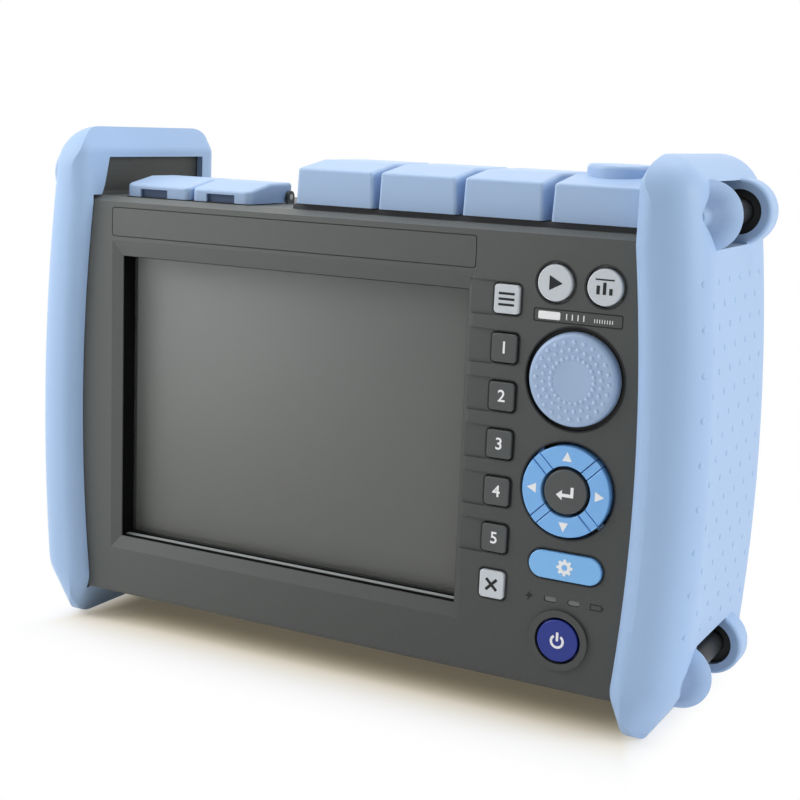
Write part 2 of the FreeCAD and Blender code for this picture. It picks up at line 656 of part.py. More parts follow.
# chips on the main board: place across, place upwards and width, in insets of a post
CHIPS = ((-8, 8, 3), (-3, 4, 2), (-3, 10, 2), (6, 7, 4))
MIDDLE = Size.of(0)
SCREW_SPOTS = [(side * size.screw_x, height)
               for side in (-1, 1) for height in (size.screw_low, size.screw_high)]
BOARD_FRONT = size.key_back + size.key_travel + size.fit + size.mat_thick + size.fit
COVER_UNDER = size.case_top + size.deck_thick + size.fit
FLAP_UNDER = size.case_top + size.fit
FLAP_1_MIDDLE = (size.flap_1_left + size.flap_1_right) / 2
FLAP_2_MIDDLE = (size.flap_2_left + size.flap_2_right) / 2
SOCKET_DEPTH = (size.flap_front + size.flap_rear) / 2
DECK_RIGHT = size.cheek_inner - size.fit
REAR_FACE = size.case_depth
ROUND_KEYS = (
    ("live_key", size.live_x, size.round_key_z, size.round_key),
    ("average_key", size.average_x, size.round_key_z, size.round_key),
    ("power_key", size.power_x, size.power_z, size.power_radius),
)
COLUMN_KEYS = ("menu_key", "function_key_1", "function_key_2", "function_key_3", "function_key_4",
               "function_key_5", "escape_key")
LAMP_SPOTS = (size.lamp_left_x, size.lamp_right_x)


def column_height(place_in_column):
    """Height of the centre of a key in the column, counted from the top."""
    return size.column_top - place_in_column * size.column_pitch


def cheeks(name, depth, grow):
    """The two upright cheeks at the ends of the case top."""
    tall = (size.case_top - size.case_wall, size.cheek_high + grow)
    inner = size.cheek_inner - grow
    outer = size.case_core + grow
    return [block(f"{name}_right", (inner, outer), depth, tall),
            block(f"{name}_left", (-outer, -inner), depth, tall)]


def case_void(name, depth):
    """The hollow of the case between two depths."""
    inside = size.case_core - size.case_wall
    tall = (size.case_bottom + size.case_wall, size.case_top - size.case_wall)
    return block(name, (-inside, inside), depth, tall)


def key_openings():
    """Holes for the keys, the lamps and the knob, and the channels beside the column keys."""
    through = (-size.case_wall, 2 * size.case_wall)
    tools = []
    for number, name in enumerate(COLUMN_KEYS):
        z = span(column_height(number), size.key_tall + 2 * size.key_gap)
        x = span(size.column_x, size.key_wide + 2 * size.key_gap)
        tools.append(plate(name + "_hole", x, z, size.key_corner + size.key_gap, through))
        if name != "escape_key":
            z = span(column_height(number), size.key_tall + 2 * size.channel_side)
            x = (size.bezel_right - 2 * size.channel_deep, size.column_x - size.key_wide / 2)
            tools.append(block(name + "_channel", x, (-size.case_wall, size.channel_deep), z))
    long = through[1] - through[0]
    for name, x, z, radius in ROUND_KEYS:
        tools.append(rod(name + "_hole", "y", radius + size.round_gap, (x, through[0], z), long))
    tools.append(rod("arrow_hole", "y", size.arrow_outer + size.arrow_gap,
                     (size.arrow_x, through[0], size.arrow_z), long))
    tall = size.setup_tall + 2 * size.key_gap
    tools.append(plate("setup_hole", span(size.setup_x, size.setup_wide + 2 * size.key_gap),
                       span(size.setup_z, tall), OVAL * tall, through))
    for number, x in enumerate(LAMP_SPOTS):
        tools.append(plate(f"lamp_hole_{number}", span(x, size.lamp_wide), span(size.lamp_z, size.lamp_tall),
                           LAMP_OVAL * size.lamp_tall, through))
    centre = (size.knob_x, through[0], size.knob_z)
    tools.append(rod("knob_well", "y", size.knob_well, centre, size.case_wall + size.knob_well_deep))
    tools.append(rod("shaft_hole", "y", size.shaft_radius + size.fit, centre, long))
    return tools


def front_shell():
    """Outer form of the front case: padded from its side outline, with the cheeks on top."""
    low, high, bend = size.case_bottom, size.case_top, size.bottom_round
    path = [
        (PANEL, low + bend),
        ((PANEL + ARC_MIDDLE * bend, low + ARC_MIDDLE * bend), (PANEL + bend, low)),
        (PANEL + size.case_split, low),
        (PANEL + size.case_split, high),
        (PANEL + size.bevel_depth, high),
        (PANEL, high - size.bevel_drop),
    ]
    core = profile("front_core", "YZ", path, -size.case_core, 2 * size.case_core)
    return fuse("front_form", [core] + cheeks("front_cheek", (size.cheek_front, size.case_split), 0))


def front_case():
    """Front case: panel with the screen bezel, key holes, knob well and the openings of the top."""
    void = case_void("front_void", (size.case_wall, size.case_split + PAST))
    shell = cut("front_shell", front_shell(), [void])
    added = [block("bezel_frame", (size.bezel_left - size.fit, size.bezel_right + size.fit),
                   (size.case_wall / 2, size.bezel_deep),
                   (size.bezel_low - size.fit, size.bezel_high + size.fit)),
             rod("power_ring", "y", size.power_ring, (size.power_x, -size.power_ring_high, size.power_z),
                 size.power_ring_high + size.case_wall / 2)]
    for number, (x, z) in enumerate(SCREW_SPOTS):
        added.append(rod(f"front_boss_{number}", "y", size.screw_shank + size.boss_wall,
                         (x, size.case_wall / 2, z), size.case_split - size.case_wall / 2))
    for number, (x, z) in enumerate(board_bosses()):
        added.append(rod(f"board_boss_{number}", "y", size.board_boss, (x, size.case_wall / 2, z),
                         BOARD_FRONT - size.case_wall / 2))
    added += flap_lugs()
    solid = fuse("front_solid", [shell] + added)

    tools = key_openings()
    tools.append(funnel("bezel", (size.bezel_left, size.bezel_right, size.bezel_low, size.bezel_high),
                        (size.view_left, size.view_right, size.view_low, size.view_high),
                        (0, size.bezel_slope)))
    tools.append(block("screen_hole", (size.view_left, size.view_right),
                       (size.bezel_slope - size.fit, size.bezel_deep + size.fit),
                       (size.view_low, size.view_high)))
    tools.append(plate("name_recess", (size.plate_left, size.plate_right), (size.plate_low, size.plate_high),
                       size.key_corner, (-size.case_wall, size.plate_thick)))
    screw_tip = REAR_FACE - size.screw_head_height - size.screw_length - size.screw_shank
    for number, (x, z) in enumerate(SCREW_SPOTS):
        tools.append(rod(f"front_bore_{number}", "y", size.screw_shank + size.screw_play, (x, screw_tip, z),
                         size.case_split - screw_tip + PAST))
    top = (size.case_top - 2 * size.case_wall, size.case_top + size.case_wall)
    tools.append(block("deck_hole", (size.deck_left + size.deck_rim, DECK_RIGHT - size.deck_rim),
                       (size.deck_front + size.deck_rim, size.deck_rear - size.deck_rim), top))
    tools.append(block("usb_hole", span(FLAP_1_MIDDLE, size.usb_wide + 2 * size.fit),
                       span(SOCKET_DEPTH, size.usb_deep + 2 * size.fit), top))
    tools.append(rod("jack_hole", "z", size.jack_radius + size.fit, (FLAP_2_MIDDLE, SOCKET_DEPTH, top[0]),
                     top[1] - top[0]))
    tools.append(flap_rod("flap_rod_bore", size.rod_radius + size.bearing))
    node(cut("front_case_cut", solid, tools), "front_case")


def rear_case():
    """Rear case: shell with the battery tray, the recess of the stand and the posts of the main board."""
    low, high, bend = size.case_bottom, size.case_top, size.bottom_round
    rear = PANEL + REAR_FACE
    path = [
        (PANEL + size.case_split, low),
        (rear - bend, low),
        ((rear - ARC_MIDDLE * bend, low + ARC_MIDDLE * bend), (rear, low + bend)),
        (rear, high - size.bevel_depth),
        (rear - size.bevel_depth, high),
        (PANEL + size.case_split, high),
    ]
    core = profile("rear_core", "YZ", path, -size.case_core, 2 * size.case_core)
    ends = cheeks("rear_cheek", (size.case_split, REAR_FACE - size.cheek_front), 0)
    void = case_void("rear_void", (size.case_split - PAST, REAR_FACE - size.case_wall))
    shell = cut("rear_shell", fuse("rear_form", [core] + ends), [void])
    inner_face = REAR_FACE - size.case_wall / 2
    tray = block("tray_form", (size.door_left - size.tray_wall, size.door_right + size.tray_wall),
                 (TRAY_FLOOR, inner_face), (size.door_low - size.tray_wall, size.door_high + size.tray_wall))
    side = size.stand_half + size.stand_play + size.pin_end + size.case_wall / 2
    pocket_floor = REAR_FACE - size.stand_thick - size.stand_play - size.case_wall
    stand_form = block("stand_form", (-side, side), (pocket_floor, inner_face),
                       (size.stand_low - size.stand_play - size.case_wall,
                        size.stand_high + size.stand_play + size.case_wall))
    added = [tray, stand_form]
    for number, (x, z) in enumerate(SCREW_SPOTS):
        added.append(rod(f"rear_boss_{number}", "y", size.screw_shank + size.boss_wall,
                         (x, size.case_split, z), inner_face - size.case_split))
    board_rear = size.main_depth + size.board_thick
    for number, (x, z) in enumerate(post_spots()):
        added.append(rod(f"main_post_{number}", "y", size.main_post, (x, board_rear, z),
                         inner_face - board_rear))
    solid = fuse("rear_solid", [shell] + added)

    beyond = REAR_FACE + size.case_wall
    rim = size.door_rim
    tools = [
        plate("door_recess", (size.door_left, size.door_right), (size.door_low, size.door_high),
              size.door_corner, (REAR_FACE - size.door_thick, beyond)),
        block("pack_pocket", (size.door_left + rim, size.door_right - rim),
              (TRAY_FLOOR + size.tray_wall, beyond), (size.door_low + rim, size.door_high - rim)),
        plate("stand_recess", span(MIDDLE, 2 * size.stand_half + 2 * size.stand_play),
              (size.stand_low - size.stand_play, size.stand_high + size.stand_play),
              size.stand_play, (REAR_FACE - size.stand_thick - size.stand_play, beyond)),
        block("finger_dip", span(MIDDLE, size.grip_wide), (REAR_FACE - size.grip_deep, beyond),
              (size.stand_low - size.grip_tall, size.stand_low + size.stand_limb / 2)),
        stand_pin_rod("pin_bore", size.pin_radius + size.bearing, size.pin_end + size.bearing),
    ]
    for number, (x, z) in enumerate(SCREW_SPOTS):
        head_seat = REAR_FACE - size.screw_head_height
        tools.append(rod(f"rear_bore_{number}", "y", size.screw_shank + size.screw_play,
                         (x, size.case_split - PAST, z), REAR_FACE - size.case_split))
        tools.append(rod(f"head_sink_{number}", "y", size.screw_head + size.screw_play, (x, head_seat, z),
                         size.screw_head_height + PAST))
    node(cut("rear_case_cut", solid, tools), "rear_case")


def case_screws():
    """Four pan-head screws that hold the cases together, from the rear."""
    screws = []
    for number, (x, z) in enumerate(SCREW_SPOTS):
        head = rod(f"screw_head_{number}", "y", size.screw_head, (x, REAR_FACE - size.screw_head_height, z),
                   size.screw_head_height)
        shank = rod(f"screw_shank_{number}", "y", size.screw_shank,
                    (x, REAR_FACE - size.screw_head_height - size.screw_length, z),
                    size.screw_length + HEAD_BITE)
        screws.append(fuse(f"screw_{number}", [head, shank]))
    group = doc.addObject("Part::Compound", "screw_group")
    group.Links = screws
    node(group, "case_screws")


def name_plate():
    """Blank name plate in its recess above the screen."""
    gap = size.plate_gap
    node(plate("name_plate_body", (size.plate_left + gap, size.plate_right - gap),
               (size.plate_low + gap, size.plate_high - gap), size.key_corner - gap, (0, size.plate_thick)),
         "name_plate")


# ----------------------------------------------------------------------------------------------------
# Bumpers and strap bars
# ----------------------------------------------------------------------------------------------------
EARS = (("upper", size.ear_high_x, size.ear_high_z), ("lower", size.ear_low_x, size.ear_low_z))


def bumper_cushion():
    """Outer form of the right bumper: the end outline padded over the whole depth, with soft edges."""
    inward = size.case_core / 2
    path = [
        (inward, 0),
        (size.bumper_foot, 0),
        (size.bumper_side_low, size.bumper_side_low_z),
        ((size.bumper_half, size.bumper_widest), (size.bumper_side_high, size.bumper_high)),
        (inward, size.bumper_high),
    ]
    raw = profile("cushion_raw", "XZ", path, -size.bumper_front,
                  size.bumper_front + REAR_FACE + size.bumper_rear)
    crown = softened("cushion_crown", raw, size.bumper_crown_round,
                     lambda edge: runs(edge, "y") and lies(edge, "z", size.bumper_high)
                     and lies(edge, "x", size.bumper_side_high))
    foot = softened("cushion_foot", crown, size.bumper_foot_round,
                    lambda edge: runs(edge, "y") and lies(edge, "x", size.bumper_side_low))
    front = softened("cushion_front", foot, size.bumper_round,
                     lambda edge: lies(edge, "y", PANEL - size.bumper_front) and not lies(edge, "x", inward))
    return softened("cushion", front, size.bumper_rear_round,
                    lambda edge: lies(edge, "y", PANEL + REAR_FACE + size.bumper_rear)
                    and not lies(edge, "x", inward))


def bumper_limit():
    """Prism whose inner side is the bowed edge of the bumper's lip, with soft edges."""
    beyond = size.bumper_half + size.ear_radius
    above = size.bumper_high + size.ear_radius
    path = [
        (size.bumper_foot_inner, 0),
        (size.bumper_lip_low, size.bumper_lip_low_z),
        ((size.bumper_lip_mid, size.bumper_lip_mid_z), (size.bumper_shoulder, size.bumper_lip_high)),
        (size.bumper_shoulder, size.bumper_shoulder_z),
        (size.bumper_crown_inner, size.bumper_high),
        (beyond, above),
        (beyond, 0),
    ]
    raw = profile("limit_raw", "XZ", path, -size.bumper_front,
                  size.bumper_front + REAR_FACE + size.bumper_rear)
    bend = softened("limit_bend", raw, size.bumper_lip_bend,
                    lambda edge: runs(edge, "y") and lies(edge, "x", size.bumper_lip_low))
    crown = softened("limit_crown", bend, size.bumper_crown_bend,
                     lambda edge: runs(edge, "y") and lies(edge, "z", size.bumper_shoulder_z))

    def inner_rim(edge):
        """Edges of one end face apart from its outer and lower sides."""
        return edge.BoundBox.XMax < (size.bumper_foot_inner + PAST).number and not lies(edge, "z", 0)

    front = softened("limit_front", crown, size.bumper_lip_front,
                     lambda edge: lies(edge, "y", PANEL - size.bumper_front) and inner_rim(edge))
    return softened("bumper_limit", front, size.bumper_lip_rear,
                    lambda edge: lies(edge, "y", PANEL + REAR_FACE + size.bumper_rear) and inner_rim(edge))


def ear(name, x, z, depth, thick):
    """A strap ear: a thick disc with soft edges."""
    radius, bend = size.ear_radius, size.ear_round
    path = [
        (0, 0),
        (radius - bend, 0),
        ((radius - ARC_MIDDLE * bend, ARC_MIDDLE * bend), (radius, bend)),
        (radius, thick - bend),
        ((radius - ARC_MIDDLE * bend, thick - ARC_MIDDLE * bend), (radius - bend, thick)),
        (0, thick),
    ]
    return turned(name, "y", (x, depth, z), path)


def front_ear(name, x, z):
    """A front ear: its face slopes to the rear on all sides of a small flat end."""
    radius, bend, thick = size.ear_radius, size.ear_round, size.ear_front_thick
    path = [
        (0, 0),
        (size.ear_tip, 0),
        (radius, thick - bend),
        ((radius - ARC_MIDDLE * bend, thick - ARC_MIDDLE * bend), (radius - bend, thick)),
        (0, thick),
    ]
    return turned(name, "y", (x, size.ear_front, z), path)


def bumpers():
    """The right bumper with its strap ears, and its mirror image on the left."""
    solid = common("bumper_solid", bumper_cushion(), bumper_limit())
    ears = []
    tools = [block("bumper_carrier_seat", (size.case_core, size.end_half + size.fit),
                   (size.end_inset - size.fit, REAR_FACE - size.end_inset + size.fit),
                   (size.end_low - size.fit, size.end_high + size.fit))]
    core = size.case_core + size.fit
    tools.append(block("bumper_core_seat", (-core, core), (-size.fit, REAR_FACE + size.fit),
                       (size.case_bottom - size.fit, size.case_top + size.fit)))
    cheek = (size.cheek_front - size.fit, REAR_FACE - size.cheek_front + size.fit)
    tools += cheeks("bumper_cheek_seat", cheek, size.fit)[:1]
    side = [
        (PANEL + size.window_front, size.window_high),
        (PANEL + size.window_rear, size.window_high),
        (PANEL + size.window_rear, size.window_low),
        (PANEL, size.window_low),
        (PANEL + size.window_knee, size.window_knee_z),
    ]
    start = size.bumper_shoulder - size.fit
    tools.append(profile("bumper_window", "YZ", side, start, core - start))
    gap = (size.ear_front + size.ear_front_thick, size.ear_rear)
    hole_front = gap[0] - size.bar_seat - size.fit
    hole_long = gap[1] - gap[0] + 2 * (size.bar_seat + size.fit)
    for level, x, z in EARS:
        ears.append(front_ear(f"{level}_front_ear", x, z))
        ears.append(ear(f"{level}_rear_ear", x, z, size.ear_rear, size.ear_rear_thick))
        tools.append(block(f"{level}_slot", (size.case_core, x + 2 * size.ear_radius), gap,
                           span(z, 2 * size.slot_half)))
        tools.append(rod(f"{level}_bar_hole", "y", size.bar_radius + size.bar_play,
                         (x, hole_front, z), hole_long))
        tools.append(rod(f"{level}_sink", "y", size.bar_sink, (x, gap[0] - size.bar_sink_deep, z),
                         gap[1] - gap[0] + 2 * size.bar_sink_deep))
    right = cut("right_bumper_cut", fuse("bumper_with_ears", [solid] + ears), tools)
    node(right, "right_bumper")
    node(mirrored("left_bumper_mirror", right), "left_bumper")


def bumper_carriers():
    """Hollow blocks on both ends of the case, which carry the bumpers."""
    depth = (size.end_inset, REAR_FACE - size.end_inset)
    wall = size.case_wall
    form = block("carrier_form", (size.case_core, size.end_half), depth, (size.end_low, size.end_high))
    hollow = block("carrier_hollow", (size.case_core - wall, size.end_half - wall),
                   (depth[0] + wall, depth[1] - wall), (size.end_low + wall, size.end_high - wall))
    right = cut("carrier_cut", form, [hollow])
    node(right, "bumper_carrier_right")
    node(mirrored("carrier_mirror", right), "bumper_carrier_left")


def strap_bars():
    """Four bars between the strap ears."""
    gap = (size.ear_front + size.ear_front_thick, size.ear_rear)
    for hand, side in (("left", -1), ("right", 1)):
        for level, x, z in EARS:
            bar = rod(f"{level}_{hand}_bar", "y", size.bar_radius, (side * x, gap[0] - size.bar_seat, z),
                      gap[1] - gap[0] + 2 * size.bar_seat)
            node(bar, f"strap_bar_{level}_{hand}")


# ----------------------------------------------------------------------------------------------------
# Screen
# ----------------------------------------------------------------------------------------------------
def around_view(grow):
    """The visible screen made larger by a rim: its spans across and in height."""
    return ((size.view_left - grow, size.view_right + grow), (size.view_low - grow, size.view_high + grow))


DISPLAY_FRONT = size.bezel_deep + size.window_thick + size.fit
DISPLAY_REAR = DISPLAY_FRONT + size.display_thick


def screen():
    """Window, liquid crystal display and the sheet-metal frame that holds it from behind."""
    x, z = around_view(size.window_rim)
    node(block("window_body", x, (size.bezel_deep, size.bezel_deep + size.window_thick), z), "display_window")
    x, z = around_view(size.display_rim)
    node(block("display_body", x, (DISPLAY_FRONT, DISPLAY_REAR), z), "display_panel")
    inner = size.display_rim + size.fit
    outer_x, outer_z = around_view(inner + size.frame_sheet)
    inner_x, inner_z = around_view(inner)
    hole_x, hole_z = around_view(-3 * size.display_rim)
    back = DISPLAY_REAR + size.fit
    tray = block("frame_form", outer_x, (DISPLAY_REAR - size.frame_flange, back + size.frame_sheet), outer_z)
    hollow = block("frame_hollow", inner_x, (DISPLAY_REAR - 2 * size.frame_flange, back), inner_z)
    window = block("frame_window", hole_x, (DISPLAY_REAR, DISPLAY_REAR + 3 * size.frame_sheet), hole_z)
    node(cut("frame_cut", tray, [hollow, window]), "display_frame")


# ----------------------------------------------------------------------------------------------------
# Keys, lamps and knob
# ----------------------------------------------------------------------------------------------------
def flat_key(name, x, z, wide, tall, corner, proud):
    """A key with a rounded rectangular cap and a flange behind the panel."""
    cap = plate(name + "_cap", span(x, wide), span(z, tall), corner, (-proud, size.key_back))
    soft = softened(name + "_soft", cap, size.key_edge, lambda edge: lies(edge, "y", PANEL - proud))
    out = 2 * (size.key_gap + size.key_flange)
    behind = size.case_wall + size.fit
    flange = block(name + "_flange", span(x, wide + out), (behind, behind + size.key_flange_thick),
                   span(z, tall + out))
    node(fuse(name + "_join", [soft, flange]), name)


def round_key(name, x, z, radius, proud, flange):
    """A turned key: cap with a soft edge, and a flange behind the panel."""
    behind = size.case_wall + size.fit
    edge = size.key_edge
    path = [
        (0, -proud),
        (radius - edge, -proud),
        ((radius - ARC_MIDDLE * edge, -proud + ARC_MIDDLE * edge), (radius, -proud + edge)),
        (radius, behind),
        (radius + flange, behind),
        (radius + flange, behind + size.key_flange_thick),
        (radius, behind + size.key_flange_thick),
        (radius, size.key_back),
        (0, size.key_back),
    ]
    node(turned(name + "_body", "y", (x, Size.of(0), z), path), name)


def quadrant(name, turn, offset, radius):
    """A square column that covers one quarter of the arrow ring, its corner pointing at the centre."""
    reach = offset * math.sqrt(2)
    step = {45: (1, 0), -45: (0, 1), -135: (-1, 0), 135: (0, -1)}[turn]
    box = doc.addObject("Part::Box", name)
    box.Placement = FreeCAD.Placement(Vector(), Rotation(Vector(0, 1, 0), turn))
    bind(box, Length=2 * radius, Height=2 * radius, Width=size.arrow_proud + size.key_back)
    return place(box, size.arrow_x + step[0] * reach, -size.arrow_proud, size.arrow_z + step[1] * reach)


def arrow_keys():
    """Four ring segments and the spacer whose diagonal strips part them."""
    for name, turn in (("right_key", 45), ("up_key", -45), ("left_key", -135), ("down_key", 135)):
        front = (size.arrow_x, -size.arrow_proud, size.arrow_z)
        long = size.arrow_proud + size.key_back
        ring = cut(name + "_ring", rod(name + "_outer", "y", size.arrow_outer, front, long),
                   [rod(name + "_inner", "y", size.arrow_inner, front, long)])
        offset = size.arrow_strip / 2 + size.arrow_groove
        sector = common(name + "_sector", ring, quadrant(name + "_quarter", turn, offset, size.arrow_outer))
        soft = softened(name + "_soft", sector, size.key_edge,
                        lambda edge: lies(edge, "y", PANEL - size.arrow_proud))
        node(soft, name)

    behind = size.case_wall + size.fit
    hole = size.arrow_outer + size.arrow_gap
    outer = hole + size.arrow_web
    front = (size.arrow_x, -size.arrow_proud + size.key_edge / 2, size.arrow_z)
    strips = []
    for number, turn in enumerate((45, -45)):
        bar = doc.addObject("Part::Box", f"strip_{number}")
        bar.Placement = FreeCAD.Placement(Vector(), Rotation(Vector(0, 1, 0), turn))
        across = size.arrow_strip / 2
        bind(bar, Length=2 * outer, Height=size.arrow_strip, Width=behind + size.key_flange_thick - front[1])
        slope = math.sqrt(0.5)
        drop = -1 if turn > 0 else 1
        start_x = size.arrow_x - slope * outer - drop * -1 * slope * across
        start_z = size.arrow_z - drop * slope * outer - slope * across
        strips.append(place(bar, start_x, front[1], start_z))
    cross = fuse("arrow_cross", strips)
    core = rod("arrow_core", "y", size.arrow_outer, front, behind - front[1] + size.fit)
    disc_front = (size.arrow_x, behind, size.arrow_z)
    disc = rod("arrow_disc", "y", outer, disc_front, size.key_flange_thick)
    within = common("arrow_strips", cross, fuse("arrow_reach", [core, disc]))
    ring = cut("arrow_web", rod("arrow_web_outer", "y", outer, disc_front, size.key_flange_thick),
               [rod("arrow_web_inner", "y", hole, disc_front, size.key_flange_thick)])
    centre = rod("arrow_centre", "y", size.arrow_inner, front, behind + size.key_back)
    node(cut("arrow_spacer_cut", fuse("arrow_spacer_join", [within, ring]), [centre]), "arrow_spacer")


def keys():
    """Every key of the panel."""
    for number, name in enumerate(COLUMN_KEYS):
        flat_key(name, size.column_x, column_height(number), size.key_wide, size.key_tall, size.key_corner,
                 size.key_proud)
    for name, x, z, radius in ROUND_KEYS:
        round_key(name, x, z, radius, size.key_proud, size.round_gap + size.key_flange)
    arrow_keys()
    round_key("enter_key", size.arrow_x, size.arrow_z, size.enter_radius, size.arrow_proud, size.fit)
    flat_key("setup_key", size.setup_x, size.setup_z, size.setup_wide, size.setup_tall,
             OVAL * size.setup_tall, size.key_proud)


def lamps():
    """Two oval light pipes that end just under the panel face."""
    pipes = []
    for number, x in enumerate(LAMP_SPOTS):
        tall = size.lamp_tall - size.plate_gap
        pipe = plate(f"lamp_pipe_{number}", span(x, size.lamp_wide - size.plate_gap), span(size.lamp_z, tall),
                     LAMP_OVAL * tall, (size.plate_gap, size.key_back))
        foot = block(f"lamp_foot_{number}", span(x, size.lamp_wide + size.fit),
                     (size.case_wall + size.fit, size.key_back), span(size.lamp_z, size.lamp_tall + size.fit))
        pipes.append(fuse(f"lamp_{number}", [pipe, foot]))
    group = doc.addObject("Part::Compound", "lamp_group")
    group.Links = pipes
    node(group, "indicator_lenses")


def knob():
    """Rotary push knob, its shaft, and the encoder with the plunger that the push moves."""
    centre = (size.knob_x, Size.of(0), size.knob_z)
    face, foot = -size.knob_proud, size.knob_well_deep - size.knob_travel - size.fit
    inside = face + size.knob_skin
    bore = size.shaft_radius + size.bearing
    bend = size.knob_round
    path = [
        (0, face + size.knob_dish_deep),
        ((size.knob_dish / 2, face + DISH_BEND * size.knob_dish_deep), (size.knob_dish, face)),
        (size.knob_face - bend, face),
        ((size.knob_face - ARC_MIDDLE * bend, face + ARC_MIDDLE * bend), (size.knob_face, face + bend)),
        (size.knob_radius, foot),
        (size.knob_radius - size.knob_skin, foot),
        (size.knob_face - size.knob_skin, inside),
        (size.knob_hub, inside),
        (size.knob_hub, foot),
        (bore, foot),
        (bore, inside + size.fit),
        (0, inside + size.fit),
    ]
    node(turned("knob_body", "y", centre, path), "knob")
    shaft_front = inside + 2 * size.fit
    round_bar = rod("shaft_bar", "y", size.shaft_radius, (size.knob_x, shaft_front, size.knob_z),
                    size.shaft_end - shaft_front)
    flat = block("shaft_flat_cut", span(size.knob_x, 2 * size.shaft_radius), (shaft_front, foot),
                 (size.knob_z + size.shaft_radius - size.shaft_flat, size.knob_z + 2 * size.shaft_radius))
    node(cut("shaft_cut", round_bar, [flat]), "encoder_shaft")
    start = (size.knob_x, size.plunger_front, size.knob_z)
    sleeve = rod("plunger_outer", "y", size.plunger_radius, start, size.plunger_long)
    hollow = rod("plunger_bore", "y", bore, start, size.plunger_long)
    node(cut("plunger_cut", sleeve, [hollow]), "encoder_plunger")
    front = size.plunger_front + size.knob_travel + size.fit
    body = block("encoder_form", span(size.knob_x, 2 * size.encoder_half), (front, BOARD_FRONT),
                 span(size.knob_z, 2 * size.encoder_half))
    hole = rod("encoder_bore", "y", size.plunger_radius + size.bearing, (size.knob_x, front, size.knob_z),
               BOARD_FRONT - size.encoder_floor - front)
    node(cut("encoder_cut", body, [hole]), "encoder_body")


# ----------------------------------------------------------------------------------------------------
# Boards and modules inside the case
# ----------------------------------------------------------------------------------------------------
def board_bosses():
    """Centres of the bosses that carry the key board."""
    near = size.board_boss_in
    low, high = size.board_low + near, size.board_high - near
    return [(size.board_left + near, low), (size.board_right - near, low),
            (size.board_left + near, high), (size.knob_x, high)]


def post_spots():
    """Centres of the posts that carry the main board."""
    return [(x, z) for x in (size.main_left + size.post_in, size.post_right)
            for z in (size.main_low + size.post_in, size.main_high - size.post_in)]


def boards():
    """Keypad mat, key board and main board."""
    mat_front = size.key_back + size.key_travel + size.fit
    inset = 2 * size.board_boss_in
    mat = block("mat_form", (size.board_left + size.fit, size.board_right - size.fit),
                (mat_front, mat_front + size.mat_thick), (size.board_low + inset, size.board_high - inset))
    clear = 2 * (size.encoder_half + size.fit)
    hole = block("mat_hole", span(size.knob_x, clear), (mat_front, mat_front + size.mat_thick),
                 span(size.knob_z, clear))
    node(cut("mat_cut", mat, [hole]), "keypad_mat")
    node(block("key_board_body", (size.board_left, size.board_right),
               (BOARD_FRONT, BOARD_FRONT + size.board_thick), (size.board_low, size.board_high)),
         "key_board")
    board_rear = size.main_depth + size.board_thick
    parts = [block("main_form", (size.main_left, size.main_right), (size.main_depth, board_rear),
                   (size.main_low, size.main_high))]
    chip = size.post_in
    for number, (x, z, wide) in enumerate(CHIPS):
        parts.append(block(f"chip_{number}", span(x * chip, wide * chip),
                           (size.main_depth - size.board_thick, size.main_depth),
                           span(size.main_low + z * chip, wide * chip)))
    node(fuse("main_join", parts), "main_board")


def optical_module():
    """Screened optical module under the connector deck, with a lid that overlaps its box."""
    x = (size.deck_left + 2 * size.deck_rim, DECK_RIGHT - 3 * size.deck_rim)
    top = size.case_top - size.case_wall - size.fit
    out = size.module_wall
    rear = TRAY_FLOOR - out - size.module_gap
    box = block("module_box", x, (size.module_front, rear), (size.module_low, top - out))
    lid = block("module_lid", (x[0] - out, x[1] + out), (size.module_front - out, rear + out),
                (top - 3 * out, top))
    node(fuse("module_join", [box, lid]), "optical_module")


# ----------------------------------------------------------------------------------------------------
# Connector deck, optical ports and tall covers
# ----------------------------------------------------------------------------------------------------
COVERS = (
    ("port_cover_1", size.cover_1_left, size.cover_1_right, size.port_barrel),
    ("port_cover_2", size.cover_2_left, size.cover_2_right, size.port_barrel),
    ("port_cover_3", size.cover_3_left, size.cover_3_right, size.port_barrel),
    ("meter_cover", size.cover_4_left, size.cover_4_right, size.meter_barrel),
)
COVER_AXIS = (size.cover_rear - size.knuckle, COVER_UNDER + size.knuckle)
FLAP_AXIS = (size.flap_rear - size.knuckle, FLAP_UNDER + size.knuckle)


def lug(name, x, axis, seat):
    """A hinge lug with a rounded top that stands on its seat; x is its span."""
    middle, top = PANEL + axis[0], axis[1] + size.knuckle
    reach = size.knuckle
    path = [
        (middle - reach, seat),
        (middle + reach, seat),
        (middle + reach, axis[1]),
        ((middle, top), (middle - reach, axis[1])),
    ]
    return profile(name, "YZ", path, x[0], x[1] - x[0])


def lug_spans(pairs):
    """Where the lugs stand: outside the first and last cover and in the gaps between covers."""
    thick, fit = size.lug_thick, size.fit
    spots = [(pairs[0][0] - fit - thick, pairs[0][0] - fit)]
    for (_, right), (left, _) in zip(pairs, pairs[1:]):
        spots.append(span((right + left) / 2, thick))
    spots.append((pairs[-1][1] + fit, pairs[-1][1] + fit + thick))
    return spots


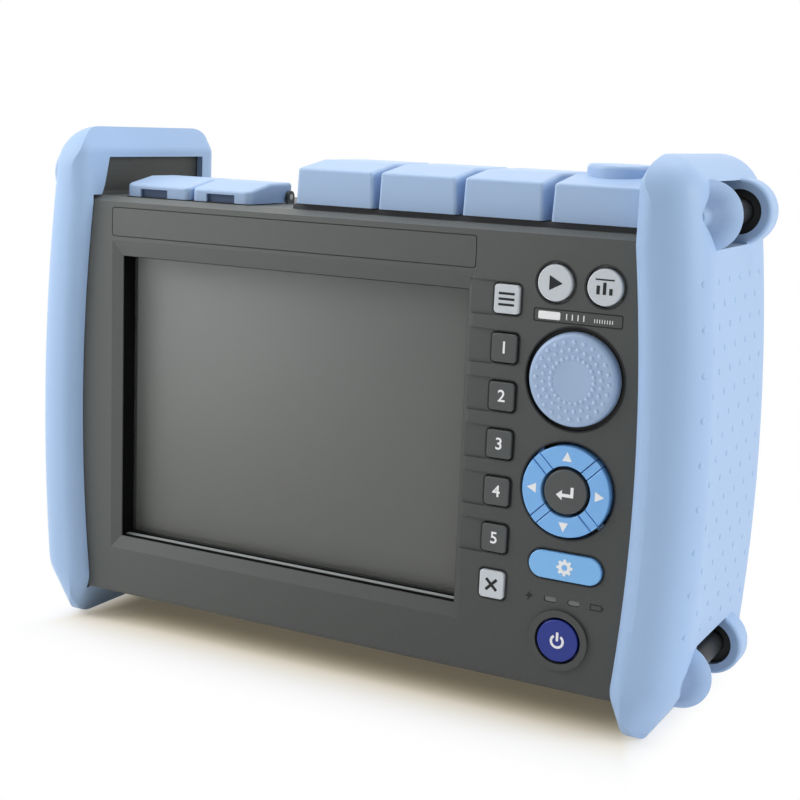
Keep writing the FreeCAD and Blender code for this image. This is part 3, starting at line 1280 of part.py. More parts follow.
def connector_deck():
    """Deck plate on the case top that carries the optical adapters and the lugs of the tall covers."""
    top = size.case_top + size.deck_thick
    flange = block("deck_flange", (size.deck_left, DECK_RIGHT), (size.deck_front, size.deck_rear),
                   (size.case_top, top))
    near = size.deck_rim + size.fit
    plug = block("deck_plug", (size.deck_left + near, DECK_RIGHT - near),
                 (size.deck_front + near, size.deck_rear - near),
                 (size.case_top - size.case_wall, size.case_top))
    lugs = []
    for number, x in enumerate(lug_spans([(left, right) for _, left, right, _ in COVERS])):
        lugs.append(lug(f"cover_lug_{number}", x, COVER_AXIS, size.case_top + size.deck_thick / 2))
    tools = [cover_rod("cover_rod_bore", size.rod_radius + size.bearing)]
    for name, left, right, barrel in COVERS:
        tools.append(rod(name + "_deck_hole", "z", barrel + size.fit,
                         ((left + right) / 2, size.port_depth, size.case_top - 2 * size.case_wall),
                         4 * size.case_wall))
    node(cut("deck_cut", fuse("deck_join", [flange, plug] + lugs), tools), "connector_deck")


def cover_rod(name, radius):
    """A rod through the lugs and the rear of all tall covers."""
    left = COVERS[0][1] - size.fit - size.lug_thick
    right = COVERS[-1][2] + size.fit + size.lug_thick
    return rod(name, "x", radius, (left, COVER_AXIS[0], COVER_AXIS[1]), right - left)


def flap_rod(name, radius):
    """A rod through the lugs and the rear of both low covers."""
    left = size.flap_1_left - size.fit - size.lug_thick
    right = size.flap_2_right + size.fit + size.lug_thick
    return rod(name, "x", radius, (left, FLAP_AXIS[0], FLAP_AXIS[1]), right - left)


def flap_lugs():
    """Lugs of the low covers, on the case top."""
    pairs = [(size.flap_1_left, size.flap_2_right)]
    return [lug(f"flap_lug_{number}", x, FLAP_AXIS, size.case_top - size.case_wall / 2)
            for number, x in enumerate(lug_spans(pairs))]


def adapters():
    """Optical adapters: a flange on the deck, a barrel, and the ferrule sleeve in its well."""
    for name, left, right, barrel in COVERS:
        seat = size.case_top + size.deck_thick
        flange = size.port_flange + barrel - size.port_barrel
        well = size.port_well + barrel - size.port_barrel
        path = [
            (size.port_bore, size.port_high - size.port_bore_deep),
            (size.port_bore, size.port_high),
            (size.port_sleeve, size.port_high),
            (size.port_sleeve, size.port_high - size.port_well_deep),
            (well, size.port_high - size.port_well_deep),
            (well, size.port_high),
            (barrel, size.port_high),
            (barrel, seat + size.port_flange_thick),
            (flange, seat + size.port_flange_thick),
            (flange, seat),
            (barrel, seat),
            (barrel, size.case_top - size.case_wall),
            (0, size.case_top - size.case_wall),
            (0, size.port_high - size.port_bore_deep),
        ]
        label = name.replace("port_cover", "optical_adapter").replace("meter_cover", "meter_adapter")
        node(turned(label + "_body", "z", ((left + right) / 2, size.port_depth, 0), path), label)


def tall_covers():
    """Tall hinged covers over the optical ports; the last one carries a low dome."""
    for name, left, right, _ in COVERS:
        front, rear = PANEL + size.cover_front, PANEL + size.cover_rear
        axis_y, axis_z = PANEL + COVER_AXIS[0], COVER_AXIS[1]
        side = [
            (front, COVER_UNDER),
            (axis_y, COVER_UNDER),
            ((axis_y + ARC_OUT * size.knuckle, axis_z - ARC_OUT * size.knuckle), (rear, axis_z)),
            (rear, size.cover_high),
            (front + size.cover_slope, size.cover_high),
            (front, size.cover_edge),
        ]
        lean = [
            (left, COVER_UNDER),
            (right, COVER_UNDER),
            (right - size.cover_taper, size.cover_high),
            (left + size.cover_taper, size.cover_high),
        ]
        deep = size.cover_rear - size.cover_front
        form = common(name + "_form", profile(name + "_side", "YZ", side, left, right - left),
                      profile(name + "_lean", "XZ", lean, size.cover_front, deep))
        soft = softened(name + "_soft", form, size.cover_round,
                        lambda edge: edge.BoundBox.ZMax > size.cover_edge.number - 0.01
                        and edge.BoundBox.YMin < (PANEL + size.cover_rear).number - 0.01)
        if name == "meter_cover":
            soft = fuse(name + "_domed", [soft, dome((left + right) / 2)])
        side_wall = size.cover_wall + size.cover_taper
        tools = [block(name + "_void", (left + side_wall, right - side_wall),
                       (size.cover_front + size.cover_wall, size.cover_rear - size.hinge_block),
                       (COVER_UNDER - PAST, size.cover_edge - size.cover_wall)),
                 rod(name + "_bore", "x", size.rod_radius + size.bearing,
                     (left - PAST, COVER_AXIS[0], COVER_AXIS[1]), right - left + 2 * PAST)]
        node(cut(name + "_cut", soft, tools), name)
    node(cover_rod("cover_rod_body", size.rod_radius), "cover_hinge_rod")


def dome(x):
    """The low round dome on top of the meter cover."""
    top = size.cover_high + size.dome_high
    bend = size.dome_round
    path = [
        (0, size.cover_high - size.cover_wall / 2),
        (size.dome_radius, size.cover_high - size.cover_wall / 2),
        (size.dome_radius, top - bend),
        ((size.dome_radius - ARC_MIDDLE * bend, top - ARC_MIDDLE * bend), (size.dome_radius - bend, top)),
        (0, top),
    ]
    return turned("dome_body", "z", (x, size.dome_depth, 0), path)


# ----------------------------------------------------------------------------------------------------
# Low covers and the sockets under them
# ----------------------------------------------------------------------------------------------------
def low_covers():
    """Two low hinged covers with a finger notch in the front."""
    covers = (("usb_cover", size.flap_1_left, size.flap_1_right),
              ("power_cover", size.flap_2_left, size.flap_2_right))
    for name, left, right in covers:
        front, rear = PANEL + size.flap_front, PANEL + size.flap_rear
        axis_y, axis_z = PANEL + FLAP_AXIS[0], FLAP_AXIS[1]
        side = [
            (front, FLAP_UNDER),
            (axis_y, FLAP_UNDER),
            ((axis_y + ARC_OUT * size.knuckle, axis_z - ARC_OUT * size.knuckle), (rear, axis_z)),
            (rear, size.flap_high),
            (front + size.flap_slope, size.flap_high),
            (front, size.flap_edge),
        ]
        raw = profile(name + "_side", "YZ", side, left, right - left)
        corners = softened(name + "_corners", raw, size.flap_corner,
                           lambda edge: runs(edge, "z") and lies(edge, "y", PANEL + size.flap_front))
        soft = softened(name + "_soft", corners, size.cover_round,
                        lambda edge: edge.BoundBox.ZMin > size.flap_edge.number - 0.01
                        and edge.BoundBox.YMin < (PANEL + size.flap_rear).number - 0.01)
        wall = size.flap_wall
        tools = [block(name + "_void", (left + wall, right - wall),
                       (size.flap_front + size.flap_corner, size.flap_rear - size.hinge_block),
                       (FLAP_UNDER - PAST, size.flap_edge - wall)),
                 block(name + "_notch", (left + size.notch_in, left + size.notch_in + size.notch_wide),
                       (size.flap_front - PAST, size.flap_front + size.notch_deep),
                       (FLAP_UNDER - PAST, FLAP_UNDER + size.notch_high)),
                 rod(name + "_bore", "x", size.rod_radius + size.bearing,
                     (left - PAST, FLAP_AXIS[0], FLAP_AXIS[1]), right - left + 2 * PAST)]
        node(cut(name + "_cut", soft, tools), name)
    node(flap_rod("flap_rod_body", size.rod_radius), "low_cover_hinge_rod")


def sockets():
    """USB port and DC jack, which face upwards under the low covers."""
    top = size.case_top - size.fit
    x, depth = span(FLAP_1_MIDDLE, size.usb_wide), span(SOCKET_DEPTH, size.usb_deep)
    shell = block("usb_form", x, depth, (top - size.usb_long, top))
    thin = size.usb_shell
    mouth = block("usb_mouth", (x[0] + thin, x[1] - thin), (depth[0] + thin, depth[1] - thin),
                  (top - size.usb_long + 4 * thin, top + PAST))
    tongue = block("usb_tongue", (x[0] + 3 * thin, x[1] - 3 * thin),
                   span(SOCKET_DEPTH - size.usb_deep / 8, 4 * thin),
                   (top - size.usb_long + 2 * thin, top - 2 * thin))
    node(fuse("usb_join", [cut("usb_shell_cut", shell, [mouth]), tongue]), "usb_port")
    path = [
        (0, -size.jack_long),
        (size.jack_radius, -size.jack_long),
        (size.jack_radius, 0),
        (size.jack_bore, 0),
        (size.jack_bore, -JACK_SHARE * size.jack_long),
        (size.jack_pin, -JACK_SHARE * size.jack_long),
        (size.jack_pin, -size.fit),
        (0, -size.fit),
    ]
    jack = turned("jack_body", "z", (FLAP_2_MIDDLE, SOCKET_DEPTH, top), path)
    node(jack, "dc_jack")


# ----------------------------------------------------------------------------------------------------
# Battery and stand
# ----------------------------------------------------------------------------------------------------
TRAY_FLOOR = REAR_FACE - size.door_thick - 2 * size.fit - size.pack_deep - size.tray_wall


def battery():
    """Battery pack in its tray, and the door that lies flush in the rear face."""
    inset = size.door_rim + size.fit
    rear = REAR_FACE - size.door_thick - size.fit
    node(plate("pack_form", (size.door_left + inset, size.door_right - inset),
               (size.door_low + inset, size.door_high - inset), size.pack_corner,
               (rear - size.pack_deep, rear)),
         "battery_pack")
    play = size.door_play
    x = (size.door_left + play, size.door_right - play)
    z = (size.door_low + play, size.door_high - play)
    panel = plate("door_form", x, z, size.door_corner - play, (REAR_FACE - size.door_thick, REAR_FACE))
    ribs = []
    ends = 4 * size.door_corner
    for number in range(GROOVES):
        height = size.door_high - (3 + number) * size.door_corner
        ribs.append(block(f"door_groove_{number}", (size.door_left + ends, size.door_right - ends),
                          (REAR_FACE - size.door_thick / 3, REAR_FACE + PAST),
                          span(height, size.door_corner / 2)))
    node(cut("door_cut", panel, ribs), "battery_door")


STAND_AXIS = (REAR_FACE - size.stand_thick / 2, size.stand_high - size.stand_thick / 2)


def stand_pin_rod(name, radius, into):
    """A rod through the top of the stand that reaches into the case at both ends."""
    half = size.stand_half + size.stand_play + into
    return rod(name, "x", radius, (-half, STAND_AXIS[0], STAND_AXIS[1]), 2 * half)


def stand():
    """Folding stand: a frame with a rounded hinge edge, and its pin."""
    inner, outer = PANEL + REAR_FACE - size.stand_thick, PANEL + REAR_FACE
    middle, top = PANEL + STAND_AXIS[0], STAND_AXIS[1]
    side = [
        (inner, size.stand_low),
        (outer, size.stand_low),
        (outer, top),
        ((middle, size.stand_high), (inner, top)),
    ]
    half = size.stand_half
    slab = profile("stand_side", "YZ", side, -half, 2 * half)
    corners = softened("stand_corners", slab, size.stand_corner,
                       lambda edge: runs(edge, "y") and lies(edge, "z", size.stand_low))
    limb = size.stand_limb
    opening = plate("stand_window", (-half + limb, half - limb),
                    (size.stand_low + limb, size.stand_high - 2 * limb), size.stand_corner,
                    (REAR_FACE - 2 * size.stand_thick, REAR_FACE + size.stand_thick))
    bore = stand_pin_rod("stand_bore", size.pin_radius + size.bearing, size.pin_end)
    node(cut("stand_cut", corners, [opening, bore]), "folding_stand")
    node(stand_pin_rod("stand_pin_body", size.pin_radius, size.pin_end), "stand_pin")


# ----------------------------------------------------------------------------------------------------
# Assembly
# ----------------------------------------------------------------------------------------------------
front_case()
rear_case()
case_screws()
name_plate()
bumpers()
bumper_carriers()
strap_bars()
screen()
keys()
lamps()
knob()
boards()
optical_module()
connector_deck()
adapters()
tall_covers()
low_covers()
sockets()
battery()
stand()
doc.recompute()

for item in doc.Objects:
    if "Invalid" in item.State or "Error" in item.State:
        raise RuntimeError(f"{item.Name}: {item.State}")
for piece in NODES:
    if piece.Shape.isNull() or not piece.Shape.isValid() or not piece.Shape.Solids:
        raise RuntimeError(f"{piece.Label} has no valid solid")

os.makedirs("parts", exist_ok=True)
for piece in NODES:
    piece.Shape.exportStep(f"parts/{piece.Label}.step")
    print(f"{piece.Label:26s} {len(piece.Shape.Solids):2d} solids {piece.Shape.Volume:12.1f} mm3")
print(len(NODES), "nodes")
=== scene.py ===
"""The looks of the fibre tester: finishes for its solids, some with painted light and shade, marks on its
keys, painted shade in its gaps and recesses, a painted highlight, linings and grip studs.

Everything is in metres in the frame of the model: +X to the right of somebody who faces the panel, +Y to
the rear, +Z up. Sizes of marks, seals and studs are given in millimetres and turned into metres by MM.
"""
import json
import math

import bpy
from mathutils import Matrix, Vector


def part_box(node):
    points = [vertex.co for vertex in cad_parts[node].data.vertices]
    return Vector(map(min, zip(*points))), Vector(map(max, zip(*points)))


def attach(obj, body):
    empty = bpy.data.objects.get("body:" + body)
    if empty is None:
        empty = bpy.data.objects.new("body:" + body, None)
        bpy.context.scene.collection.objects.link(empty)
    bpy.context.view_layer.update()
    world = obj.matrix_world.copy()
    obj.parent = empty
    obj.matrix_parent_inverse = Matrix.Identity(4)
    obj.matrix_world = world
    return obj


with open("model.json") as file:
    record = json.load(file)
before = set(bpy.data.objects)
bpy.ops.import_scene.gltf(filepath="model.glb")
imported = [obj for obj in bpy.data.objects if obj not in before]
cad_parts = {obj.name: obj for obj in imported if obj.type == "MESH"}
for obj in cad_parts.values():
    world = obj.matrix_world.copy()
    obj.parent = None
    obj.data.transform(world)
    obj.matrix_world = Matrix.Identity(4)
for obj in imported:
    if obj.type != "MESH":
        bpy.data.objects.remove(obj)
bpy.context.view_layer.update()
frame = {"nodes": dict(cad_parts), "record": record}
nodes = frame["nodes"]
MM = 0.001
FUNCTION_KEYS = [f"function_key_{number}" for number in range(1, 6)]
LOW_COVERS = ["usb_cover", "power_cover"]
COVERS = ["port_cover_1", "port_cover_2", "port_cover_3", "meter_cover"] + LOW_COVERS
STRAP_BARS = [f"strap_bar_{level}_{side}" for level in ("upper", "lower") for side in ("left", "right")]


# ---------------------------------------------------------------------------------------------------
# Finishes
# ---------------------------------------------------------------------------------------------------
def tone(red, green, blue):
    """A colour from its 0 to 255 numbers, as the renderer's linear light."""
    def linear(value):
        value /= 255
        return value / 12.92 if value <= 0.04045 else ((value + 0.055) / 1.055) ** 2.4
    return (linear(red), linear(green), linear(blue), 1.0)


def shaded(colour, factor):
    """A colour made lighter or darker."""
    return tuple(min(part * factor, 1.0) for part in colour[:3]) + (1.0,)


class Flow:
    """A value that changes over a surface; arithmetic on it adds Math nodes to its finish."""

    def __init__(self, finish, socket):
        self.finish = finish
        self.socket = socket

    def math(self, operation, *values):
        return self.finish.node("Math", {"operation": operation}, dict(enumerate(values)))

    def __add__(self, other):
        return self.math("ADD", self, other)

    __radd__ = __add__

    def __sub__(self, other):
        return self.math("SUBTRACT", self, other)

    def __rsub__(self, other):
        return self.math("SUBTRACT", other, self)

    def __mul__(self, other):
        return self.math("MULTIPLY", self, other)

    __rmul__ = __mul__

    def __abs__(self):
        return self.math("ABSOLUTE", self)

    def root(self):
        """The square root."""
        return self.math("POWER", self, 0.5)

    def least(self, other):
        """The smaller of two values."""
        return self.math("MINIMUM", self, other)

    def most(self, other):
        """The larger of two values."""
        return self.math("MAXIMUM", self, other)

    def wrap(self, period):
        """The rest after division by a period."""
        return self.math("FLOORED_MODULO", self, period)

    def over(self, limit):
        """1 where the value is over a limit, else 0."""
        return self.math("GREATER_THAN", self, limit)

    def ramp(self, low, high):
        """0 below low, 1 above high, and a smooth rise between them."""
        settings = {"interpolation_type": "SMOOTHSTEP"}
        return self.finish.node("MapRange", settings, {"Value": self, "From Min": low, "From Max": high})


class Finish:
    """A material round one Principled surface, whose fixed numbers are set on its own sockets."""

    def __init__(self, name, **fixed):
        self.material = bpy.data.materials.new(name)
        self.material.use_nodes = True
        self.tree = self.material.node_tree
        self.tree.nodes.clear()
        self.end = self.tree.nodes.new("ShaderNodeOutputMaterial")
        self.surface = self.tree.nodes.new("ShaderNodeBsdfPrincipled")
        self.tree.links.new(self.surface.outputs[0], self.end.inputs[0])
        for key, value in fixed.items():
            self.surface.inputs[key.replace("_", " ")].default_value = value
        self.spot = self.node("TexCoord", {}, {}, "Object")

    def node(self, kind, settings, values, output=0):
        """Any node: its settings come first, then values or links for its sockets."""
        made = self.tree.nodes.new("ShaderNode" + kind)
        for key, value in settings.items():
            setattr(made, key, value)
        for key, value in values.items():
            if isinstance(value, Flow):
                self.tree.links.new(value.socket, made.inputs[key])
            else:
                made.inputs[key].default_value = value
        return Flow(self, made.outputs[output])

    def along(self, axis):
        """The coordinate along X, Y or Z, in metres."""
        return self.node("SeparateXYZ", {}, {0: self.spot}, axis)

    def noise(self, scale, detail=2.0, stretch=(1, 1, 1)):
        """Soft random values from 0 to 1; scale counts per metre."""
        place = self.spot
        if stretch != (1, 1, 1):
            place = self.node("Mapping", {}, {"Vector": self.spot, "Scale": stretch})
        return self.node("TexNoise", {}, {"Vector": place, "Scale": scale, "Detail": detail})

    def cells(self, scale):
        """Distance to the nearest of many random points; scale counts per metre."""
        return self.node("TexVoronoi", {}, {"Vector": self.spot, "Scale": scale}, "Distance")

    def mixed(self, factor, first, second):
        """Two colours mixed by a factor."""
        return self.node("Mix", {"data_type": "RGBA"}, {0: factor, 6: first, 7: second}, 2)

    def give(self, **flows):
        """Link values to sockets of the surface."""
        for key, value in flows.items():
            self.tree.links.new(value.socket, self.surface.inputs[key.replace("_", " ")])
        return self

    def relief(self, height, depth):
        """Raise and sink the surface by a height from 0 to 1 times a depth in metres."""
        return self.give(Normal=self.node("Bump", {}, {"Height": height, "Distance": depth}))


def moulded(name, colour, rough, grain=2600, depth=0.00004, spread=0.10, **fixed):
    """Moulded plastic or rubber: slow changes of shade, and a fine grain in gloss and relief."""
    paint = Finish(name, **fixed)
    slow = paint.noise(14, 3)
    fine = paint.noise(grain, 2)
    body = paint.mixed(slow, shaded(colour, 1 - spread), shaded(colour, 1 + spread))
    paint.give(Base_Color=paint.mixed(fine * 0.22, body, shaded(colour, 0.72)))
    paint.give(Roughness=rough + (fine - 0.5) * 0.16 + (slow - 0.5) * 0.08)
    return paint.relief(fine, depth)


def glossy(name, colour, rough=0.36, spread=0.04):
    """Hard plastic of the coloured keys and the knob, with a very fine grain."""
    return moulded(name, colour, rough, grain=3400, depth=0.00001, spread=spread)


def printed(name, colour):
    """Printing ink: nearly even, with slightly broken gloss."""
    paint = Finish(name, Specular_IOR_Level=0.35)
    speck = paint.noise(5200, 2)
    paint.give(Base_Color=paint.mixed(speck, shaded(colour, 0.93), shaded(colour, 1.04)))
    return paint.give(Roughness=0.5 + (speck - 0.5) * 0.2).relief(speck, 0.00001)


def drawn_metal(name, colour, rough, stretch):
    """Metal with fine lines along the way that it was drawn."""
    paint = Finish(name, Metallic=1.0)
    lines = paint.noise(900, 3, stretch)
    slow = paint.noise(60, 2)
    paint.give(Base_Color=paint.mixed(lines, shaded(colour, 0.8), shaded(colour, 1.1)))
    paint.give(Roughness=rough + (lines - 0.5) * 0.2 + (slow - 0.5) * 0.1)
    return paint.relief(lines, 0.000008)


# front strap ears, in millimetres: their axes (x, z), the radius of the flat tip and of the whole ear, the
# depth that the face falls back per millimetre of radius, and the Y of the tip
EAR_AXES = ((101.8, 141.0), (103.5, 18.0))
EAR_TIP, EAR_RADIUS, EAR_SLANT = 1.5, 9.2, 1.013
EAR_FRONT_Y = -28.35
# distances from the axis over which the painted shade on a slant comes and goes, and how near the slant it
# must be
SHADE_COMES = (2.0, 3.4)
SHADE_GOES = (5.0, EAR_RADIUS)
SLANT_SKIN = (0.3, 0.6)


def ear_slants(paint):
    """Mask of the painted shade on the slanted faces of the front strap ears: 1 on them, fading out towards
    their rims, else 0.
    """
    across, rise = abs(paint.along("X")), paint.along("Z")
    reach = None
    for x, z in EAR_AXES:
        wide, high = across - x * MM, rise - z * MM
        distance = (wide * wide + high * high).root()
        reach = distance if reach is None else reach.least(distance)
    slant = (reach - EAR_TIP * MM) * EAR_SLANT + EAR_FRONT_Y * MM
    near = 1 - abs(paint.along("Y") - slant).ramp(SLANT_SKIN[0] * MM, SLANT_SKIN[1] * MM)
    comes = reach.ramp(SHADE_COMES[0] * MM, SHADE_COMES[1] * MM)
    return near * comes * (1 - reach.ramp(SHADE_GOES[0] * MM, SHADE_GOES[1] * MM))


def bumper_rubber():
    """Light-blue elastomer: soft shade changes, a satin skin, faint flow marks, a darker and rougher foot,
    and painted shade on the ear slants.
    """
    colour = tone(165, 194, 231)
    paint = Finish("bumper_elastomer", Specular_IOR_Level=0.38, Sheen_Weight=0.08)
    slow = paint.noise(11, 3)
    flow_marks = paint.noise(34, 4, (1, 1, 0.25))
    skin = paint.noise(3200, 2)
    low = 1 - paint.along("Z").ramp(0.0, 0.02)
    clean = paint.mixed(slow, shaded(colour, 0.93), shaded(colour, 1.05))
    marked = paint.mixed(flow_marks.ramp(0.55, 0.8) * 0.3, clean, shaded(colour, 0.88))
    # the lowest 20 mm is darker and a little rougher
    darker_low = paint.mixed(low * 0.25, marked, tone(158, 180, 212))
    # painted shade: the slanted faces of the front strap ears are mixed towards a darker blue
    paint.give(Base_Color=paint.mixed(ear_slants(paint) * 0.55, darker_low, tone(92, 116, 160)))
    paint.give(Roughness=0.46 + (skin - 0.5) * 0.14 + (slow - 0.5) * 0.1 + low * 0.1)
    return paint.relief(skin + flow_marks * 0.6, 0.00003)


def case_plastic():
    """Charcoal case: grained, with painted light towards the top and painted shade on the lower right of the
    front and on the cheeks.
    """
    colour = tone(96, 99, 97)
    paint = Finish("case_plastic", Specular_IOR_Level=0.42)
    slow = paint.noise(9, 3)
    grain = paint.cells(2300)
    speck = paint.noise(4200, 2)
    body = paint.mixed(slow, shaded(colour, 0.9), shaded(colour, 1.12))
    # painted light: lighter towards the top, in soft patches
    top_painted_light = paint.along("Z").ramp(0.09, 0.14) * slow
    speckled = paint.mixed(speck * 0.3, body, shaded(colour, 0.7))
    # painted shade: the front is darker towards its lower right
    front = 1 - paint.along("Y").ramp(-0.029, -0.022)
    right_painted_shade = (paint.along("X") - paint.along("Z") * 0.7).ramp(-0.16, 0.05) * front
    # painted shade: much darker above the top of the case, on the cheeks
    cheek = paint.along("Z").ramp(0.1362, 0.1368)
    skin = paint.mixed(top_painted_light * 0.35, speckled, shaded(colour, 1.35))
    skin = paint.mixed(right_painted_shade * 0.68, skin, shaded(colour, 0.3))
    paint.give(Base_Color=paint.mixed(cheek * 0.75, skin, shaded(colour, 0.25)))
    paint.give(Roughness=0.50 + (grain - 0.4) * 0.25 + (slow - 0.5) * 0.1)
    return paint.relief(grain + speck * 0.5, 0.00003)


def display_glass():
    """Dark anti-glare window over the display."""
    paint = Finish("window_glass", Specular_IOR_Level=0.5, Coat_Roughness=0.08, Coat_Weight=0.5)
    haze = paint.noise(7, 2)
    etch = paint.noise(5200, 2)
    paint.give(Base_Color=paint.mixed(haze, tone(112, 116, 114), tone(124, 127, 124)))
    paint.give(Alpha=0.30 + (haze - 0.5) * 0.06, Roughness=0.26 + (etch - 0.5) * 0.12)
    return paint.relief(etch, 0.000004)


def dead_display():
    """Display that is off: a grey sheet with painted light, much lighter to the upper left and darker to the
    lower right, and a painted shadow along its left side.
    """
    paint = Finish("display_sheet", Specular_IOR_Level=0.45)
    low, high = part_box("display_panel")
    across = paint.along("X").ramp(low.x, high.x)
    rise = paint.along("Z").ramp(low.z, high.z)
    haze = paint.noise(16, 2)
    rows = (paint.along("Z") * 2800).wrap(1.0)
    # painted light: the sheet is much lighter towards the upper left
    upper = paint.mixed(across, tone(236, 240, 238), tone(136, 140, 136))
    lower = paint.mixed(across, tone(150, 150, 142), tone(122, 120, 112))
    sheet = paint.mixed(haze * 0.15 + rows * 0.04, paint.mixed(rise, lower, upper), tone(130, 134, 132))
    # painted shadow: black along the sheet's left side, under the bezel's left wall
    shade = 1 - paint.along("X").ramp(low.x + 3.6 * MM, low.x + 4.6 * MM)
    paint.give(Base_Color=paint.mixed(shade * 0.85, sheet, tone(10, 10, 12)))
    paint.give(Roughness=0.34 + (haze - 0.5) * 0.1)
    return paint.relief(rows, 0.000003)


def circuit_board():
    """Solder mask over tracks."""
    paint = Finish("circuit_board", Specular_IOR_Level=0.5)
    track = (paint.along("X") * 420).wrap(1.0).over(0.62) * paint.noise(110, 1).over(0.5)
    hole = 1 - paint.cells(210).over(0.12)
    mask = paint.mixed(track, tone(18, 84, 48), tone(34, 120, 70))
    paint.give(Base_Color=paint.mixed(hole, mask, tone(190, 178, 120)))
    paint.give(Roughness=0.34 + hole * 0.1 + paint.noise(40) * 0.1)
    return paint.relief(track - hole, 0.00003)


def shrink_wrap():
    """Battery wrap with a few soft creases."""
    paint = Finish("battery_wrap", Specular_IOR_Level=0.5)
    crease = paint.noise(120, 3, (1, 1, 4))
    paint.give(Base_Color=paint.mixed(crease, tone(36, 38, 44), tone(52, 55, 62)))
    return paint.give(Roughness=0.30 + crease * 0.2).relief(crease, 0.0002)


finishes = {
    "case": case_plastic(),
    "deck": moulded("deck_plastic", tone(72, 73, 78), 0.5),
    "bumper": bumper_rubber(),
    "strap_bar": moulded("strap_bar_plastic", tone(27, 28, 30), 0.42, spread=0.16),
    "cover": moulded("cover_plastic", tone(174, 201, 236), 0.40, grain=3400, depth=0.00002, spread=0.04),
    "dark_key": moulded("dark_key_rubber", tone(76, 79, 79), 0.44, depth=0.00003),
    "light_key": moulded("light_key_rubber", tone(210, 216, 221), 0.46, depth=0.00002, spread=0.03),
    "arrow_key": glossy("arrow_key_plastic", tone(130, 190, 250)),
    "setup_key": glossy("setup_key_plastic", tone(134, 196, 253)),
    "power_key": glossy("power_key_plastic", tone(14, 42, 140), spread=0.06),
    "knob": glossy("knob_plastic", tone(168, 192, 224)),
    "window": display_glass(),
    "display": dead_display(),
    "lens": moulded("lamp_lens", tone(112, 112, 112), 0.34, spread=0.05),
    "sheet": drawn_metal("sheet_metal", tone(190, 192, 194), 0.35, (1, 1, 14)),
    "steel": drawn_metal("drawn_steel", tone(176, 178, 180), 0.28, (1, 14, 14)),
    "board": circuit_board(),
    "mat": moulded("silicone_mat", tone(34, 35, 37), 0.55),
    "ferrule": drawn_metal("plated_brass", tone(206, 200, 180), 0.24, (1, 1, 12)),
    "socket": drawn_metal("socket_shell", tone(184, 186, 188), 0.3, (1, 1, 12)),
    "battery": shrink_wrap(),
}
for part in frame["record"]["subparts"]:
    for place in nodes[part["node"]].material_slots:
        place.material = finishes[part["material_slot"]].material

white_ink = printed("white_ink", tone(252, 253, 255))
black_ink = printed("black_ink", tone(20, 22, 25))
faint_ink = printed("faint_ink", tone(24, 25, 26))
# black for the painted shade in gaps, joints and recesses
gap_shade_black = moulded("gap_shade_black", tone(10, 11, 13), 0.6, spread=0.2)
lining_paint = moulded("lining_black", tone(6, 6, 7), 0.8, spread=0.15, Specular_IOR_Level=0.1)
# light grey for a painted highlight in the screen's opening
highlight_paint = moulded("window_highlight", tone(196, 202, 202), 0.3, spread=0.05)
# darker blue for the painted shade in the low covers' finger notches
notch_shade_paint = moulded("notch_painted_shade", tone(62, 84, 118), 0.5)
knob_stud_paint = glossy("knob_stud_plastic", tone(186, 208, 238), 0.3)


# ---------------------------------------------------------------------------------------------------
# Ways of making pieces
# ---------------------------------------------------------------------------------------------------
# how far a flat mark stands out of its face and how deep its root lies under it, in millimetres
MARK_HIGH = 0.05
MARK_ROOT = 0.06
# sides of the large round bands
ROUND_STEPS = 96


def settle(piece, name, body, finish):
    """Put a finished piece's place into its mesh, name it, paint it and let it ride on a body."""
    bpy.ops.object.select_all(action="DESELECT")
    piece.select_set(True)
    bpy.context.view_layer.objects.active = piece
    bpy.ops.object.transform_apply(location=True, rotation=True, scale=True)
    piece.name = name
    piece.data.name = name
    piece.data.materials.clear()
    piece.data.materials.append(finish.material)
    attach(piece, body)
    return piece


def start(adder, **settings):
    """Add a primitive with nothing else selected."""
    bpy.ops.object.select_all(action="DESELECT")
    adder(**settings)
    return bpy.context.object


def pull_out(piece, move):
    """Pull everything selected out by a move, and turn the faces outwards."""
    bpy.ops.object.mode_set(mode="EDIT")
    bpy.ops.mesh.select_all(action="SELECT")
    bpy.ops.mesh.extrude_region_move(TRANSFORM_OT_translate={"value": move})
    bpy.ops.mesh.select_all(action="SELECT")
    bpy.ops.mesh.normals_make_consistent(inside=False)
    bpy.ops.object.mode_set(mode="OBJECT")
    return piece


def loop(corners, face):
    """A ring of edges through corners (x, z) in millimetres, on a face whose Y is in metres."""
    ring = start(bpy.ops.mesh.primitive_circle_add, vertices=len(corners), radius=MM, fill_type="NOTHING")
    for vertex, (x, z) in zip(ring.data.vertices, corners):
        vertex.co = (x * MM, face + MARK_ROOT * MM, z * MM)
    return ring


def slab(corners, face, deep):
    """A flat piece with one outline, from a Y a little behind a face to a depth along Y, both in metres."""
    piece = loop(corners, face)
    bpy.ops.object.mode_set(mode="EDIT")
    bpy.ops.mesh.select_all(action="SELECT")
    bpy.ops.mesh.edge_face_add()
    bpy.ops.object.mode_set(mode="OBJECT")
    return pull_out(piece, (0, deep, 0))


def patch(corners, face):
    """A flat mark with one outline, standing a little out of its face."""
    return slab(corners, face, -(MARK_ROOT + MARK_HIGH) * MM)


def band(outer, inner, face, deep=-(MARK_ROOT + MARK_HIGH) * MM):
    """A flat mark between two outlines of as many corners."""
    piece = joined([loop(outer, face), loop(inner, face)])
    bpy.ops.object.mode_set(mode="EDIT")
    bpy.ops.mesh.select_all(action="SELECT")
    bpy.ops.mesh.bridge_edge_loops()
    bpy.ops.object.mode_set(mode="OBJECT")
    return pull_out(piece, (0, deep, 0))


def hoop(x, z, inner, outer, face, deep=-(MARK_ROOT + MARK_HIGH) * MM, steps=64):
    """A round band about a centre."""
    return band(arc((x, z), outer, 0, 360 * (steps - 1) / steps, steps - 1),
                arc((x, z), inner, 0, 360 * (steps - 1) / steps, steps - 1), face, deep)


